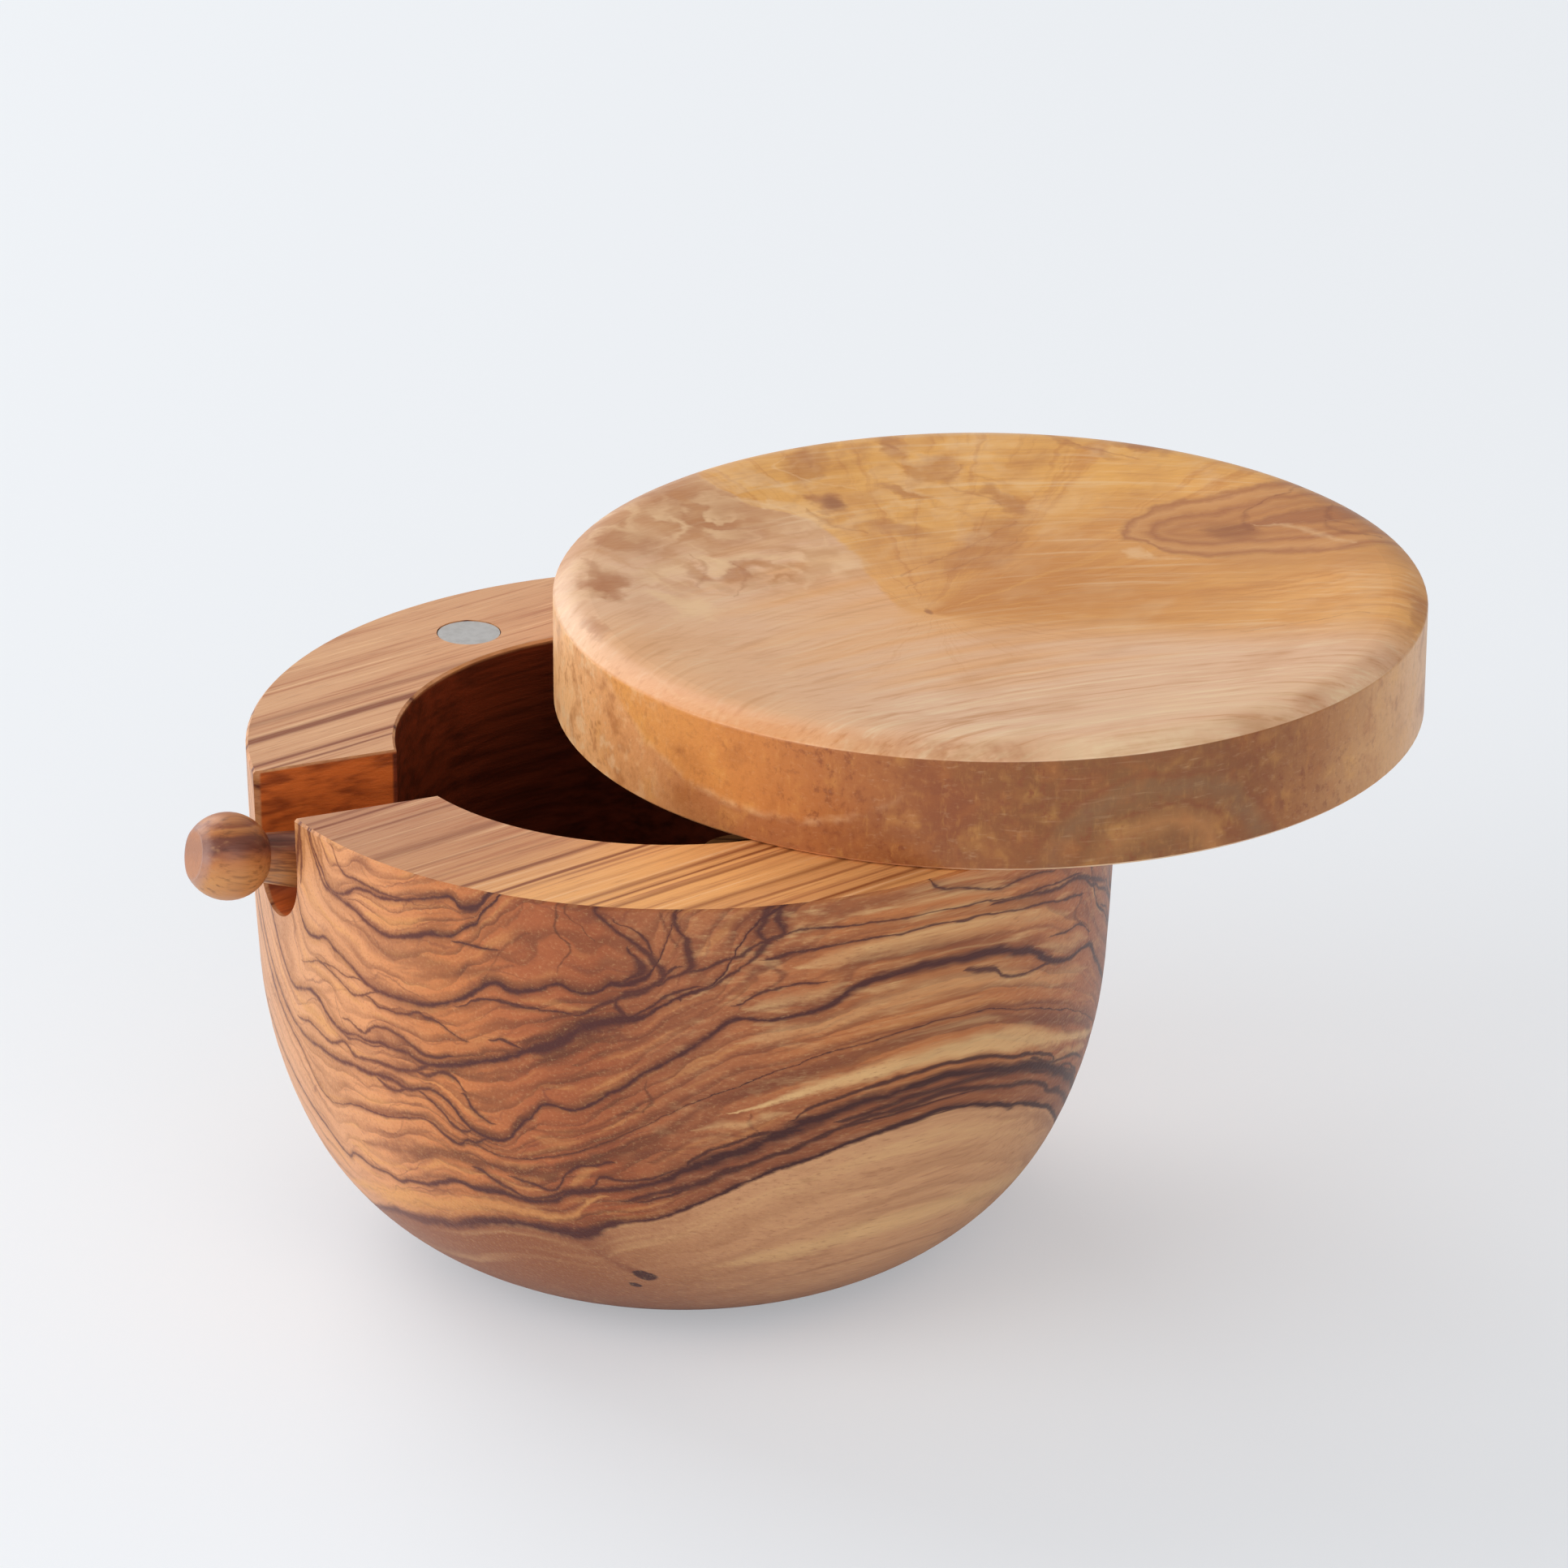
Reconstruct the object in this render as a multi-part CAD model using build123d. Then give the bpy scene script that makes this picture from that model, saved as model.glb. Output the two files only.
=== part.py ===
"""Round wooden salt box: a turned bowl, a lid that swivels on a steel pin, two magnets and a spoon.

Millimetres, +Z up. The origin is the centre of the flat underside of the bowl, and -Y points
out through the middle of the spoon notch. The lid is modelled where it lies when it is shut,
centred over the bowl, and is then turned about its pin to where it rests, partly open.
"""

import math
import os

from build123d import *

# ---- Driving dimensions -------------------------------------------------------------------

# Bowl, outside: a flank that leans in a little, a shoulder and a round belly on a flat base.
bowl_height = 66.4
rim_radius = 54.0
rim_lean = 0.8  # degrees, how far the flank leans in at the rim
flank_radius = 52.9  # where the flank meets the shoulder
flank_drop = 28.7  # height of the flank, down from the rim
shoulder_radius = 48.0  # where the shoulder meets the belly
shoulder_drop = 48.1
base_radius = 24.0
edge_break = 0.3  # width of the small chamfers on the wooden rims

# Cavity: a straight bore with a rounded foot.
cavity_radius = 34.2
cavity_shift = -1.5  # along Y, from the bowl's axis towards the notch
floor_thickness = 12.0
floor_round = 14.0

# Notch for the spoon's handle, with a half-round bottom.
notch_width = 15.5
notch_depth = 15.5

# Lid: a disc with a sloping band round its top, a soft crest and a dished middle.
lid_radius = 54.4
lid_thickness = 15.5  # at the crest, its highest line
lid_gap = 0.2  # between the rim and the lid's underside
band_width = 4.4  # from the lid's side in to the crest
band_drop = 1.4  # fall of the band from the crest to the lid's side
band_edge_round = 0.6
crest_width = 8.0  # soft stretch from the crest in to the dish
crest_drop = 0.8  # fall of the surface across that stretch
dish_depth = 2.6
lid_open = 53.8  # degrees from shut to the rest position

# Pivot pin, pressed into the wall of the bowl.
pin_radius = 2.0
pin_in_bowl = 16.0
pin_in_lid = 9.5
pin_chamfer = 0.4
pin_angle = 21.1  # degrees about Z
pin_circle = 44.0  # radius from the bowl's axis
press_gap = 0.01
running_gap = 0.05
pin_end_gap = 0.6

# Disc magnets, one in the rim and one in the lid.
magnet_radius = 4.0
magnet_thickness = 3.0
magnet_angle = 198.5  # degrees about Z
magnet_circle = 42.2
magnet_recess = 0.1
glue_gap = 0.12

# Spoon: a knob with a flat end, a round handle and an oval scoop.
spoon_length = 97.8
knob_radius = 5.4
knob_flat_radius = 3.15
neck_radius = 3.0
swell_radius = 3.6  # the handle is thickest a little behind the knob
swell_length = 16.0
scoop_length = 30.0
scoop_width = 20.0
scoop_depth = 9.0
scoop_wall = 1.8
scoop_step = 0.5  # the top of the handle stands this far over the scoop's rim
scoop_blend = 4.0  # radius of the fillet between the handle and the scoop
spoon_tilt = 12.0  # degrees, scoop end down
seat_gap = 0.3  # clearance where the spoon lies on the notch and against the wall

# ---- Places worked out from the dimensions ------------------------------------------------

notch_radius = notch_width / 2
notch_floor = bowl_height - notch_depth
lid_bottom = bowl_height + lid_gap


def on_circle(radius, angle, height):
    """Point at an angle (degrees) on a circle about the Z axis."""
    turn = math.radians(angle)
    return (radius * math.cos(turn), radius * math.sin(turn), height)


pin_place = on_circle(pin_circle, pin_angle, bowl_height)
magnet_place = on_circle(magnet_circle, magnet_angle, bowl_height)


# ---- Helpers ------------------------------------------------------------------------------


def turned(face, shift=0.0):
    """Solid of revolution about Z from a face in the XZ plane, moved along Y."""
    return Pos(0, shift, 0) * revolve(face, Axis.Z)


def rod(place, radius, length, down=False):
    """Upright cylinder that starts at a place and runs up, or down."""
    start = -length if down else 0.0
    return Pos(*place) * Pos(0, 0, start) * extrude(Plane.XY * Circle(radius), length)


def opened(shape):
    """Turn a shape of the shut lid about the pin to the lid's rest position."""
    x, y, _ = pin_place
    return Pos(x, y, 0) * Rot(0, 0, -lid_open) * Pos(-x, -y, 0) * shape


# ---- Bowl ---------------------------------------------------------------------------------


def bowl_outline():
    """Half section of the solid bowl, in the XZ plane."""
    lean = math.radians(rim_lean)
    rim_flat = (rim_radius - edge_break, bowl_height)
    rim = (rim_radius, bowl_height - edge_break)
    flank_foot = (flank_radius, bowl_height - flank_drop)
    shoulder_foot = (shoulder_radius, bowl_height - shoulder_drop)
    flank = TangentArc(rim, flank_foot, tangent=(-math.sin(lean), -math.cos(lean)))
    shoulder = TangentArc(flank_foot, shoulder_foot, tangent=flank % 1)
    belly = TangentArc(shoulder_foot, (base_radius, 0), tangent=shoulder % 1)
    ends = Polyline((base_radius, 0), (0, 0), (0, bowl_height), rim_flat, rim)
    return Plane.XZ * make_face(flank + shoulder + belly + ends)


def cavity_outline():
    """Half section of the space in the bowl, with a chamfer at its mouth."""
    mouth = bowl_height + edge_break
    corner = floor_round * (1 - math.sqrt(0.5))
    wall = Polyline(
        (cavity_radius, floor_thickness + floor_round),
        (cavity_radius, bowl_height - edge_break),
        (cavity_radius + 2 * edge_break, mouth),
        (0, mouth),
        (0, floor_thickness),
        (cavity_radius - floor_round, floor_thickness),
    )
    foot = ThreePointArc(
        (cavity_radius - floor_round, floor_thickness),
        (cavity_radius - corner, floor_thickness + corner),
        (cavity_radius, floor_thickness + floor_round),
    )
    return Plane.XZ * make_face(wall + foot)


def notch_cutter():
    """Round-bottomed slot from the middle of the cavity out through the wall."""
    reach = 2 * rim_radius
    height = bowl_height - notch_floor - notch_radius + edge_break
    middle = notch_floor + notch_radius
    outline = Pos(0, middle) * Circle(notch_radius)
    outline += Pos(0, middle + height / 2) * Rectangle(notch_width, height)
    return Pos(0, cavity_shift, 0) * extrude(Plane.XZ * outline, reach)


def make_bowl():
    bowl = turned(bowl_outline())
    bowl -= turned(cavity_outline(), cavity_shift)
    bowl -= notch_cutter()
    bowl -= rod(pin_place, pin_radius + press_gap, pin_in_bowl, down=True)
    pocket_depth = magnet_thickness + magnet_recess
    bowl -= rod(magnet_place, magnet_radius + glue_gap, pocket_depth, down=True)
    return bowl


# ---- Lid ----------------------------------------------------------------------------------


def lid_outline():
    """Half section of the lid, with its underside at height zero."""
    crest = (lid_radius - band_width, lid_thickness)
    band_foot = (lid_radius, lid_thickness - band_drop)
    under = Polyline(
        (0, lid_thickness - dish_depth),
        (0, 0),
        (lid_radius - edge_break, 0),
        (lid_radius, edge_break),
        band_foot,
    )
    band = TangentArc(crest, band_foot, tangent=(1, 0))
    dish = Spline(
        crest,
        (lid_radius - band_width - crest_width, lid_thickness - crest_drop),
        (0, lid_thickness - dish_depth),
        tangents=((-1, 0), (-1, 0)),
    )
    outline = make_face(under + band + dish)
    corner = outline.vertices().sort_by_distance(band_foot)[0]
    return Plane.XZ * fillet(corner, band_edge_round)


def make_lid():
    lid = Pos(0, 0, lid_bottom) * turned(lid_outline())
    x, y, _ = pin_place
    lid -= rod((x, y, lid_bottom), pin_radius + running_gap, pin_in_lid + pin_end_gap)
    x, y, _ = magnet_place
    lid -= rod((x, y, lid_bottom), magnet_radius + glue_gap, magnet_thickness + magnet_recess)
    return opened(lid)


# ---- Pin and magnets ----------------------------------------------------------------------


def make_pivot_pin():
    x, y, _ = pin_place
    pin = rod((x, y, bowl_height - pin_in_bowl), pin_radius, pin_in_bowl + lid_gap + pin_in_lid)
    return chamfer(pin.edges().filter_by(GeomType.CIRCLE), pin_chamfer)


def make_rim_magnet():
    x, y, _ = magnet_place
    return rod((x, y, bowl_height - magnet_recess), magnet_radius, magnet_thickness, down=True)


def make_lid_magnet():
    x, y, _ = magnet_place
    return opened(rod((x, y, lid_bottom + magnet_recess), magnet_radius, magnet_thickness))


# ---- Spoon --------------------------------------------------------------------------------
# It is modelled along +Y with the middle of the knob at the origin, and then laid in place.

knob_flat = math.sqrt(knob_radius**2 - knob_flat_radius**2)
neck = math.sqrt(knob_radius**2 - neck_radius**2)
scoop_rim = neck_radius - scoop_step
tip = spoon_length - knob_flat
scoop_middle = tip - scoop_length / 2


def make_handle():
    """Knob and handle, turned about the Y axis."""
    end = scoop_middle
    swell_middle = (swell_radius, neck + swell_length / 2)
    knob = ThreePointArc((knob_flat_radius, -knob_flat), (knob_radius, 0), (neck_radius, neck))
    swell = ThreePointArc((neck_radius, neck), swell_middle, (neck_radius, neck + swell_length))
    rest = Polyline(
        (neck_radius, neck + swell_length),
        (neck_radius, end),
        (0, end),
        (0, -knob_flat),
        (knob_flat_radius, -knob_flat),
    )
    return revolve(make_face(knob + swell + rest), Axis.Y)


def scoop_form(inset):
    """Lower half of an ellipsoid that hangs from the scoop's rim, made smaller by the inset."""
    half_width = scoop_width / 2 - inset
    half_length = scoop_length / 2 - inset
    half_ball = Sphere(1) & Pos(0, 0, -1) * Box(2, 2, 2)
    form = scale(half_ball, by=(half_width, half_length, scoop_depth - inset))
    return Pos(0, scoop_middle, scoop_rim) * form


def scoop_mouth():
    """Space over the inside of the scoop, from its rim up."""
    oval = Ellipse(scoop_width / 2 - scoop_wall, scoop_length / 2 - scoop_wall)
    return Pos(0, scoop_middle, scoop_rim) * extrude(Plane.XY * oval, scoop_depth)


def make_spoon():
    blank = make_handle() + scoop_form(0)
    near_handle = scoop_middle - scoop_length / 2 + 1.5 * neck_radius
    seam = [e for e in blank.edges().filter_by(GeomType.BSPLINE) if e.center().Y < near_handle]
    spoon = fillet(seam, scoop_blend) - scoop_form(scoop_wall) - scoop_mouth()

    # The handle lies on the inner edge of the notch's floor, and the tip against the far wall.
    tilt = math.radians(spoon_tilt)
    far_wall = cavity_shift + cavity_radius - seat_gap
    knob_y = far_wall - tip * math.cos(tilt) - scoop_rim * math.sin(tilt)
    edge_y = cavity_shift - cavity_radius
    axis_at_edge = notch_floor + (neck_radius + seat_gap) / math.cos(tilt)
    knob_z = axis_at_edge + (edge_y - knob_y) * math.tan(tilt)
    return Pos(0, knob_y, knob_z) * Rot(-spoon_tilt, 0, 0) * spoon


# ---- Write the parts ----------------------------------------------------------------------

makers = {
    "bowl": make_bowl,
    "lid": make_lid,
    "pivot_pin": make_pivot_pin,
    "rim_magnet": make_rim_magnet,
    "lid_magnet": make_lid_magnet,
    "spoon": make_spoon,
}

os.makedirs("parts", exist_ok=True)
for node, make in makers.items():
    export_step(make(), f"parts/{node}.step")
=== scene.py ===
"""Round salt box turned from olive wood, with a lid that swivels on a pin, two magnets and a spoon.

Metres, +Z up. The origin is the centre of the flat underside of the bowl, and -Y points out
through the middle of the spoon notch. Inside the materials, lengths are in millimetres and
directions in degrees.
"""

import math
from functools import reduce

import bpy
from bpy.props import FloatProperty, FloatVectorProperty, PointerProperty
from mathutils import Matrix, Vector


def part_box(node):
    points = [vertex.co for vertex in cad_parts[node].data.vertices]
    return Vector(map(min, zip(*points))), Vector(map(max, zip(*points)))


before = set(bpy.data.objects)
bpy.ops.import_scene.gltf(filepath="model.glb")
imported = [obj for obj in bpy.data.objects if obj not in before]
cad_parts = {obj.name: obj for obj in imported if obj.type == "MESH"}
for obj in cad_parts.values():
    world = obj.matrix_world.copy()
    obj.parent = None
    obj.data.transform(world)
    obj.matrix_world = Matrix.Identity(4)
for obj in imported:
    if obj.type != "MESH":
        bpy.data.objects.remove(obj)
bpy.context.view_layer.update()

MM = 1000.0  # millimetres in a metre

bl_info = {
    "name": "Olive Wood Salt Box",
    "version": (1, 0, 0),
    "blender": (4, 5, 0),
    "location": "View3D > Sidebar > Salt Box",
    "description": "A turned salt box with a swivelling lid, its spoon and a plain studio",
    "category": "Object",
}


# ---- Sizes and colours that a user would change ------------------------------------------


def linear(text):
    """Linear red, green, blue and alpha of a colour written as six hex digits."""
    parts = [int(text[k:k + 2], 16) / 255 for k in (0, 2, 4)]
    return tuple(p / 12.92 if p <= 0.04045 else ((p + 0.055) / 1.055) ** 2.4
                 for p in parts) + (1.0,)


def colour(name, text, description):
    return FloatVectorProperty(
        name=name, description=description, subtype="COLOR", size=4, min=0, max=1,
        default=linear(text),
    )


def length(name, default, description):
    return FloatProperty(
        name=name, description=description, default=default, min=0, unit="LENGTH", precision=5,
    )


def angle(name, degrees, description):
    return FloatProperty(
        name=name, description=description, default=math.radians(degrees), unit="ROTATION",
    )


class SaltBoxSizes(bpy.types.PropertyGroup):
    ripple: length("Ripple", 0.0004, "How far the dark lines wander from their run")
    scribble: length("Scribble", 0.00025, "How far the dark lines shake over a short stretch")
    log_tilt: angle("Log tilt", 6.3, "How far the log's axis drops towards the back of the bowl")
    log_turn: angle("Log direction", 106, "Direction of the log's axis, seen from above")


class SaltBoxColours(bpy.types.PropertyGroup):
    sap: colour("Sapwood", "925634", "Pale plain wood outside the last dark line")
    sap_pale: colour("Pale sapwood", "d0996c", "Sapwood of the right-hand side")
    sap_brown: colour("Brown sapwood", "99603c", "Faint rings of the sapwood")
    line: colour("Dark line", "4e201a", "The dark lines of the figure")
    heavy: colour("Heavy line", "421a16", "The darkest lines and the pin knots")
    brown_line: colour("Brown line", "7a3c26", "Thin brown lines")
    soft_line: colour("Soft line", "8a482a", "Faint brown lines and bands")
    deep_brown: colour("Deep brown", "5c2c16", "Brown bands of the darker front")
    tawny: colour("Tawny", "cf8e50", "Lighter wood of the darker front")
    band: colour("Dark band", "7c4229", "Ground of the dark band of the right-hand side")
    band_pale: colour("Band stripe", "a86c4a", "Pale stripes in the dark band")
    yellow: colour("Yellow band", "e6a254", "Yellow strips between dark lines")
    pale: colour("Pale wood", "e8bb80", "Pale flecks and strips")
    rim: colour("Rim wood", "dea77a", "Planed rim, near the notch")
    rim_gold: colour("Golden rim wood", "f3ae68", "Planed rim, right of the notch")
    rim_pale: colour("Pale rim wood", "ffd09e", "Pale streaks of the rim")
    rim_brown: colour("Brown rim wood", "b66f45", "Brown grain of the rim")
    rim_rose: colour("Rosy rim wood", "a8684d", "Planed rim, right beside the notch")
    rim_dark: colour("Dark rim streak", "863f14", "The dark streaks of the rim")
    notch: colour("Notch wall", "d86f2e", "Walls of the spoon notch")
    notch_dark: colour("Dark notch wall", "93441c", "Streaks of the notch walls")
    # The two hollow colours are painted shade of the walls and bottom of the hollow.
    shaded_hollow: colour("Hollow", "80381e", "Walls and bottom of the hollow")
    shaded_hollow_dark: colour("Dark hollow", "542414", "Streaks of the hollow")
    lid: colour("Lid wood", "e9a75c", "Right of the lid's middle")
    lid_yellow: colour("Lid yellow", "ecad58", "Back left of the lid")
    lid_gold: colour("Lid gold", "ce853b", "Deeper golden wood of the lid")
    lid_warm: colour("Lid warm", "c88647", "Wood beside the eye")
    lid_inner: colour("Lid inner peach", "eaa968", "Front of the lid, near its middle")
    # Partly the wood's own tone and partly a painted sheen on the front of the lid's top.
    lid_peach_sheen: colour("Lid peach", "e9b992", "Peach-coloured front of the lid")
    lid_light: colour("Lid light", "f3c998", "Lightest patches of the lid")
    lid_cream: colour("Lid cream", "f2d2a8", "Pale grain at the right of the lid")
    lid_tan: colour("Lid tan", "c6864c", "Darker patches and grain of the lid")
    lid_brown: colour("Lid brown", "ae6833", "Brown marks of the lid")
    lid_dark: colour("Lid dark", "8a4a28", "Darkest marks of the lid")
    lid_orange: colour("Lid orange", "dd863c", "Orange wood of the lid's side")
    lid_grey: colour("Lid grey", "8a6848", "Greyish arches of the lid's side")
    spoon: colour("Spoon wood", "c08a5c", "Pale stripes of the spoon")
    spoon_dark: colour("Spoon dark", "522a1c", "Dark stripes of the spoon")
    spoon_grey: colour("Spoon grey", "8a6850", "Greyish stripes of the handle")
    spoon_flat: colour("Spoon flat", "b57751", "Flat end of the knob")
    spoon_worn: colour("Spoon worn", "af8475", "Worn edge round the flat end")
    nickel: colour("Nickel", "d3d1cf", "Plating of the magnets")
    nickel_dark: colour("Dark nickel", "9a9793", "Clouds of the plating")
    steel: colour("Steel", "b8b8ba", "Pivot pin")
    floor: colour("Floor", "f5faff", "Plain pale floor")
    backdrop: colour("Backdrop", "f4f5f8", "Tone that the floor fades to")


class SaltBoxStudio(bpy.types.PropertyGroup):
    key: FloatProperty(name="Key light", default=9.3, min=0, unit="POWER",
                       description="Power of the big soft lamp, for one of a metre across")
    sky: FloatProperty(name="Sky light", default=0.44, min=0,
                       description="Strength of the even light from all round")


SETTINGS = {
    "salt_sizes": SaltBoxSizes,
    "salt_colours": SaltBoxColours,
    "salt_studio": SaltBoxStudio,
}


def sizes():
    return bpy.context.scene.salt_sizes


def colours():
    return bpy.context.scene.salt_colours


# ---- Nodes -------------------------------------------------------------------------------


class Value:
    """A socket in a tree of nodes. An expression on it adds Math nodes."""

    def __init__(self, nodes, socket):
        self.nodes, self.socket = nodes, socket

    def math(self, operation, *values, clamp=False):
        settings = {"operation": operation, "use_clamp": clamp}
        return self.nodes.add("ShaderNodeMath", settings, dict(enumerate(values)))

    def __add__(self, other): return self.math("ADD", self, other)
    def __radd__(self, other): return self.math("ADD", other, self)
    def __sub__(self, other): return self.math("SUBTRACT", self, other)
    def __rsub__(self, other): return self.math("SUBTRACT", other, self)
    def __mul__(self, other): return self.math("MULTIPLY", self, other)
    def __rmul__(self, other): return self.math("MULTIPLY", other, self)
    def __truediv__(self, other): return self.math("DIVIDE", self, other)
    def __rtruediv__(self, other): return self.math("DIVIDE", other, self)
    def __abs__(self): return self.math("ABSOLUTE", self)
    def at_least(self, other): return self.math("MAXIMUM", self, other)
    def at_most(self, other): return self.math("MINIMUM", self, other)
    def root(self): return self.math("SQRT", self)
    def fraction(self): return self.math("FRACT", self)
    def held(self): return self.math("ADD", self, 0.0, clamp=True)

    def fade(self, start, end):
        """0 at start, 1 at end, and a smooth step between; the higher one may come first."""
        if start > end:
            return 1 - self.fade(end, start)
        settings = {"interpolation_type": "SMOOTHSTEP", "clamp": True}
        return self.nodes.add("ShaderNodeMapRange", settings, {0: self, 1: start, 2: end})


class Nodes:
    """The nodes of a material or of the world, which owns them."""

    def __init__(self, owner):
        owner.use_nodes = True
        self.tree = owner.node_tree
        self.tree.nodes.clear()

    def add(self, kind, settings=None, inputs=None, output=0):
        """A node of this kind: its settings, then the values or links of its sockets."""
        node = self.tree.nodes.new(kind)
        for name, setting in (settings or {}).items():
            if name == "stops":
                ramp = node.color_ramp
                while len(ramp.elements) < len(setting):
                    ramp.elements.new(0.5)
                for element, (place, tint) in zip(ramp.elements, setting):
                    element.position, element.color = place, tint
            elif name in ("points", "corners"):
                node.mapping.extend = "HORIZONTAL"
                curve = node.mapping.curves[0]
                while len(curve.points) < len(setting):
                    curve.points.new(0.5, 0.5)
                for point, place in zip(curve.points, setting):
                    point.location = place
                    point.handle_type = "AUTO" if name == "points" else "VECTOR"
                node.mapping.update()
            else:
                setattr(node, name, setting)
        for name, value in (inputs or {}).items():
            if isinstance(value, Value):
                self.tree.links.new(value.socket, node.inputs[name])
            else:
                node.inputs[name].default_value = value
        if node.outputs:
            return Value(self, node.outputs[output])


class Finish(Nodes):
    """A material under construction."""

    def __init__(self, name):
        self.material = bpy.data.materials.new(name)
        super().__init__(self.material)

    def place(self):
        """Object coordinates in millimetres, as a vector."""
        point = self.add("ShaderNodeTexCoord", output="Object")
        return self.add("ShaderNodeVectorMath", {"operation": "SCALE"}, {0: point, "Scale": MM})

    def normal(self):
        return self.add("ShaderNodeTexCoord", output="Normal")

    def dot(self, vector, axis):
        return self.add("ShaderNodeVectorMath", {"operation": "DOT_PRODUCT"},
                        {0: vector, 1: axis}, output="Value")

    def axes(self, vector):
        return [self.dot(vector, axis) for axis in ((1, 0, 0), (0, 1, 0), (0, 0, 1))]

    def vector(self, x, y, z):
        return self.add("ShaderNodeCombineXYZ", None, {0: x, 1: y, 2: z})

    def texture(self, output, vector, size, detail, roughness):
        inputs = {"Vector": vector, "Scale": 1 / size, "Detail": detail, "Roughness": roughness}
        return self.add("ShaderNodeTexNoise", None, inputs, output)

    def noise(self, vector, size, detail=2.0, roughness=0.5):
        """Noise between -1 and 1, with features about as long as size."""
        return self.texture(0, vector, size, detail, roughness) * 2 - 1

    def noises(self, vector, size, detail=2.0, roughness=0.5):
        """Three independent noises between -1 and 1."""
        tint = self.texture("Color", vector, size, detail, roughness)
        parts = self.add("ShaderNodeSeparateXYZ", None, {0: tint}).socket.node.outputs
        return [Value(self, part) * 2 - 1 for part in parts]

    def mix(self, factor, first, second):
        settings = {"data_type": "RGBA", "clamp_factor": True}
        return self.add("ShaderNodeMix", settings, {0: factor, 6: first, 7: second}, output=2)

    def layers(self, tint, *coats):
        """A colour under its coats, from the bottom up: how much of each, and its colour."""
        for amount, coat in coats:
            tint = self.mix(amount, tint, coat)
        return tint

    def ramp(self, value, stops):
        """Colours along a value, each written at its place between 0 and 1."""
        tints = [(place, linear(text)) for place, text in stops]
        return self.add("ShaderNodeValToRGB", {"stops": tints}, {0: value})

    def bump(self, height, distance):
        """Normal of a surface with that height, of which 1 stands for distance in metres."""
        return self.add("ShaderNodeBump", None,
                        {"Height": height, "Distance": distance, "Strength": 1.0})

    def principled(self, **values):
        """The main shader, with those values or links."""
        inputs = {name.replace("_", " "): value for name, value in values.items()}
        return self.add("ShaderNodeBsdfPrincipled", None, inputs)

    def done(self, shader):
        self.add("ShaderNodeOutputMaterial", None, {"Surface": shader})
        return self.material


# ---- Drawing on the wood -----------------------------------------------------------------

ACROSS = ALONG = (-56.0, 56.0)
DEPTH = (-12.0, 70.0)
WIDEST = 2.0  # half width of a line that a curve's full height stands for
HIDDEN = 9    # distance, in half widths, at which a line no longer shows
# A line is shut by two points past each end. Lines of one curve are apart by more than this.
NEAR, FAR, SHUT, APART = 0.4, 1.2, 0.002, 0.5
KEPT_OFF = 0.01  # added to every distance, so that a shut line doesn't show


def share(value, limits):
    """Where a length lies between two limits: 0 at the first and 1 at the second."""
    return (value - limits[0]) * (1 / (limits[1] - limits[0]))


def chains(lines):
    """The lines, each closed at both ends, and those well apart joined into one."""
    joined = []
    for line in sorted(lines):
        (first, start, _), (last, end, _) = line[0], line[-1]
        closed = [(first - FAR, start, SHUT), (first - NEAR, start, SHUT), *line,
                  (last + NEAR, end, SHUT), (last + FAR, end, SHUT)]
        home = next((chain for chain in joined if chain[-1][0] + APART < closed[0][0]), None)
        if home:
            home += closed
        else:
            joined.append(closed)
    return joined


class Sheet:
    """A sheet to draw on. A line on it is a curve of the second length over the first."""

    def __init__(self, wood, first, first_limits, second, second_limits):
        self.wood = wood
        self.first_limits, self.second_limits = first_limits, second_limits
        self.level, self.height = share(first, first_limits), share(second, second_limits)
        self.reach = second_limits[1] - second_limits[0]

    def curve(self, kind, shape):
        return self.wood.add("ShaderNodeFloatCurve", {kind: shape}, {"Value": self.level})

    def run(self, points):
        """The second length along a line, as a share of the sheet."""
        return self.curve("points", [(share(p[0], self.first_limits),
                                      share(p[1], self.second_limits)) for p in points])

    def path(self, points):
        """The second length along a line, in millimetres."""
        return self.run(points) * self.reach + self.second_limits[0]

    def half(self, points):
        """Half width of a line, as a share of the widest."""
        return self.curve("corners", [(share(p[0], self.first_limits), p[2] / WIDEST)
                                      for p in points])

    def distance(self, run, half):
        """Distance from a line, counted in its half widths."""
        gap = self.wood.add("ShaderNodeMath", {"operation": "MULTIPLY_ADD"},
                            {0: abs(self.height - run), 1: self.reach / WIDEST, 2: KEPT_OFF})
        return gap / half

    def nearest(self, lines):
        """Distance from the nearest of those lines, counted in its half widths."""
        return reduce(Value.at_most, [self.distance(self.run(chain), self.half(chain))
                                      for chain in chains(lines)])

    def draw(self, lines, loose):
        """1 on those lines and 0 off them; a larger loose makes them wider and firmer."""
        return (loose - self.nearest(lines)).held()

    def draw_grouped(self, lines, loose):
        """The same for lines that start with their strength."""
        return reduce(Value.at_least, [
            self.draw([line for strength, line in lines if strength == group], loose) * group
            for group in sorted({strength for strength, line in lines})])


def patch(x, y, middle, reach, turn, edge=0.0):
    """1 inside a soft oval and 0 outside it, with its long side turned by that many degrees."""
    c, s = math.cos(math.radians(turn)), math.sin(math.radians(turn))
    dx, dy = x - middle[0], y - middle[1]
    a, b = (dx * c + dy * s) / reach[0], (dy * c - dx * s) / reach[1]
    return 1 - (a * a + b * b).fade(edge, 1.0)


def between(value, low, high, edge):
    """1 where a value lies between the other two, with edges that wide."""
    return ((value - low) / edge + 0.5).held() * ((high - value) / edge + 0.5).held()


def short_of(value, limit, edge):
    """1 where a value is short of its limit, with a smooth edge that wide."""
    return value.fade(limit + edge / 2, limit - edge / 2)


def ridge(value, place, width):
    """1 where a value is at a place, falling to 0 at that width off it."""
    return (1 - abs(value - place) / width).held()


# ---- Figure of the bowl ------------------------------------------------------------------

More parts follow.
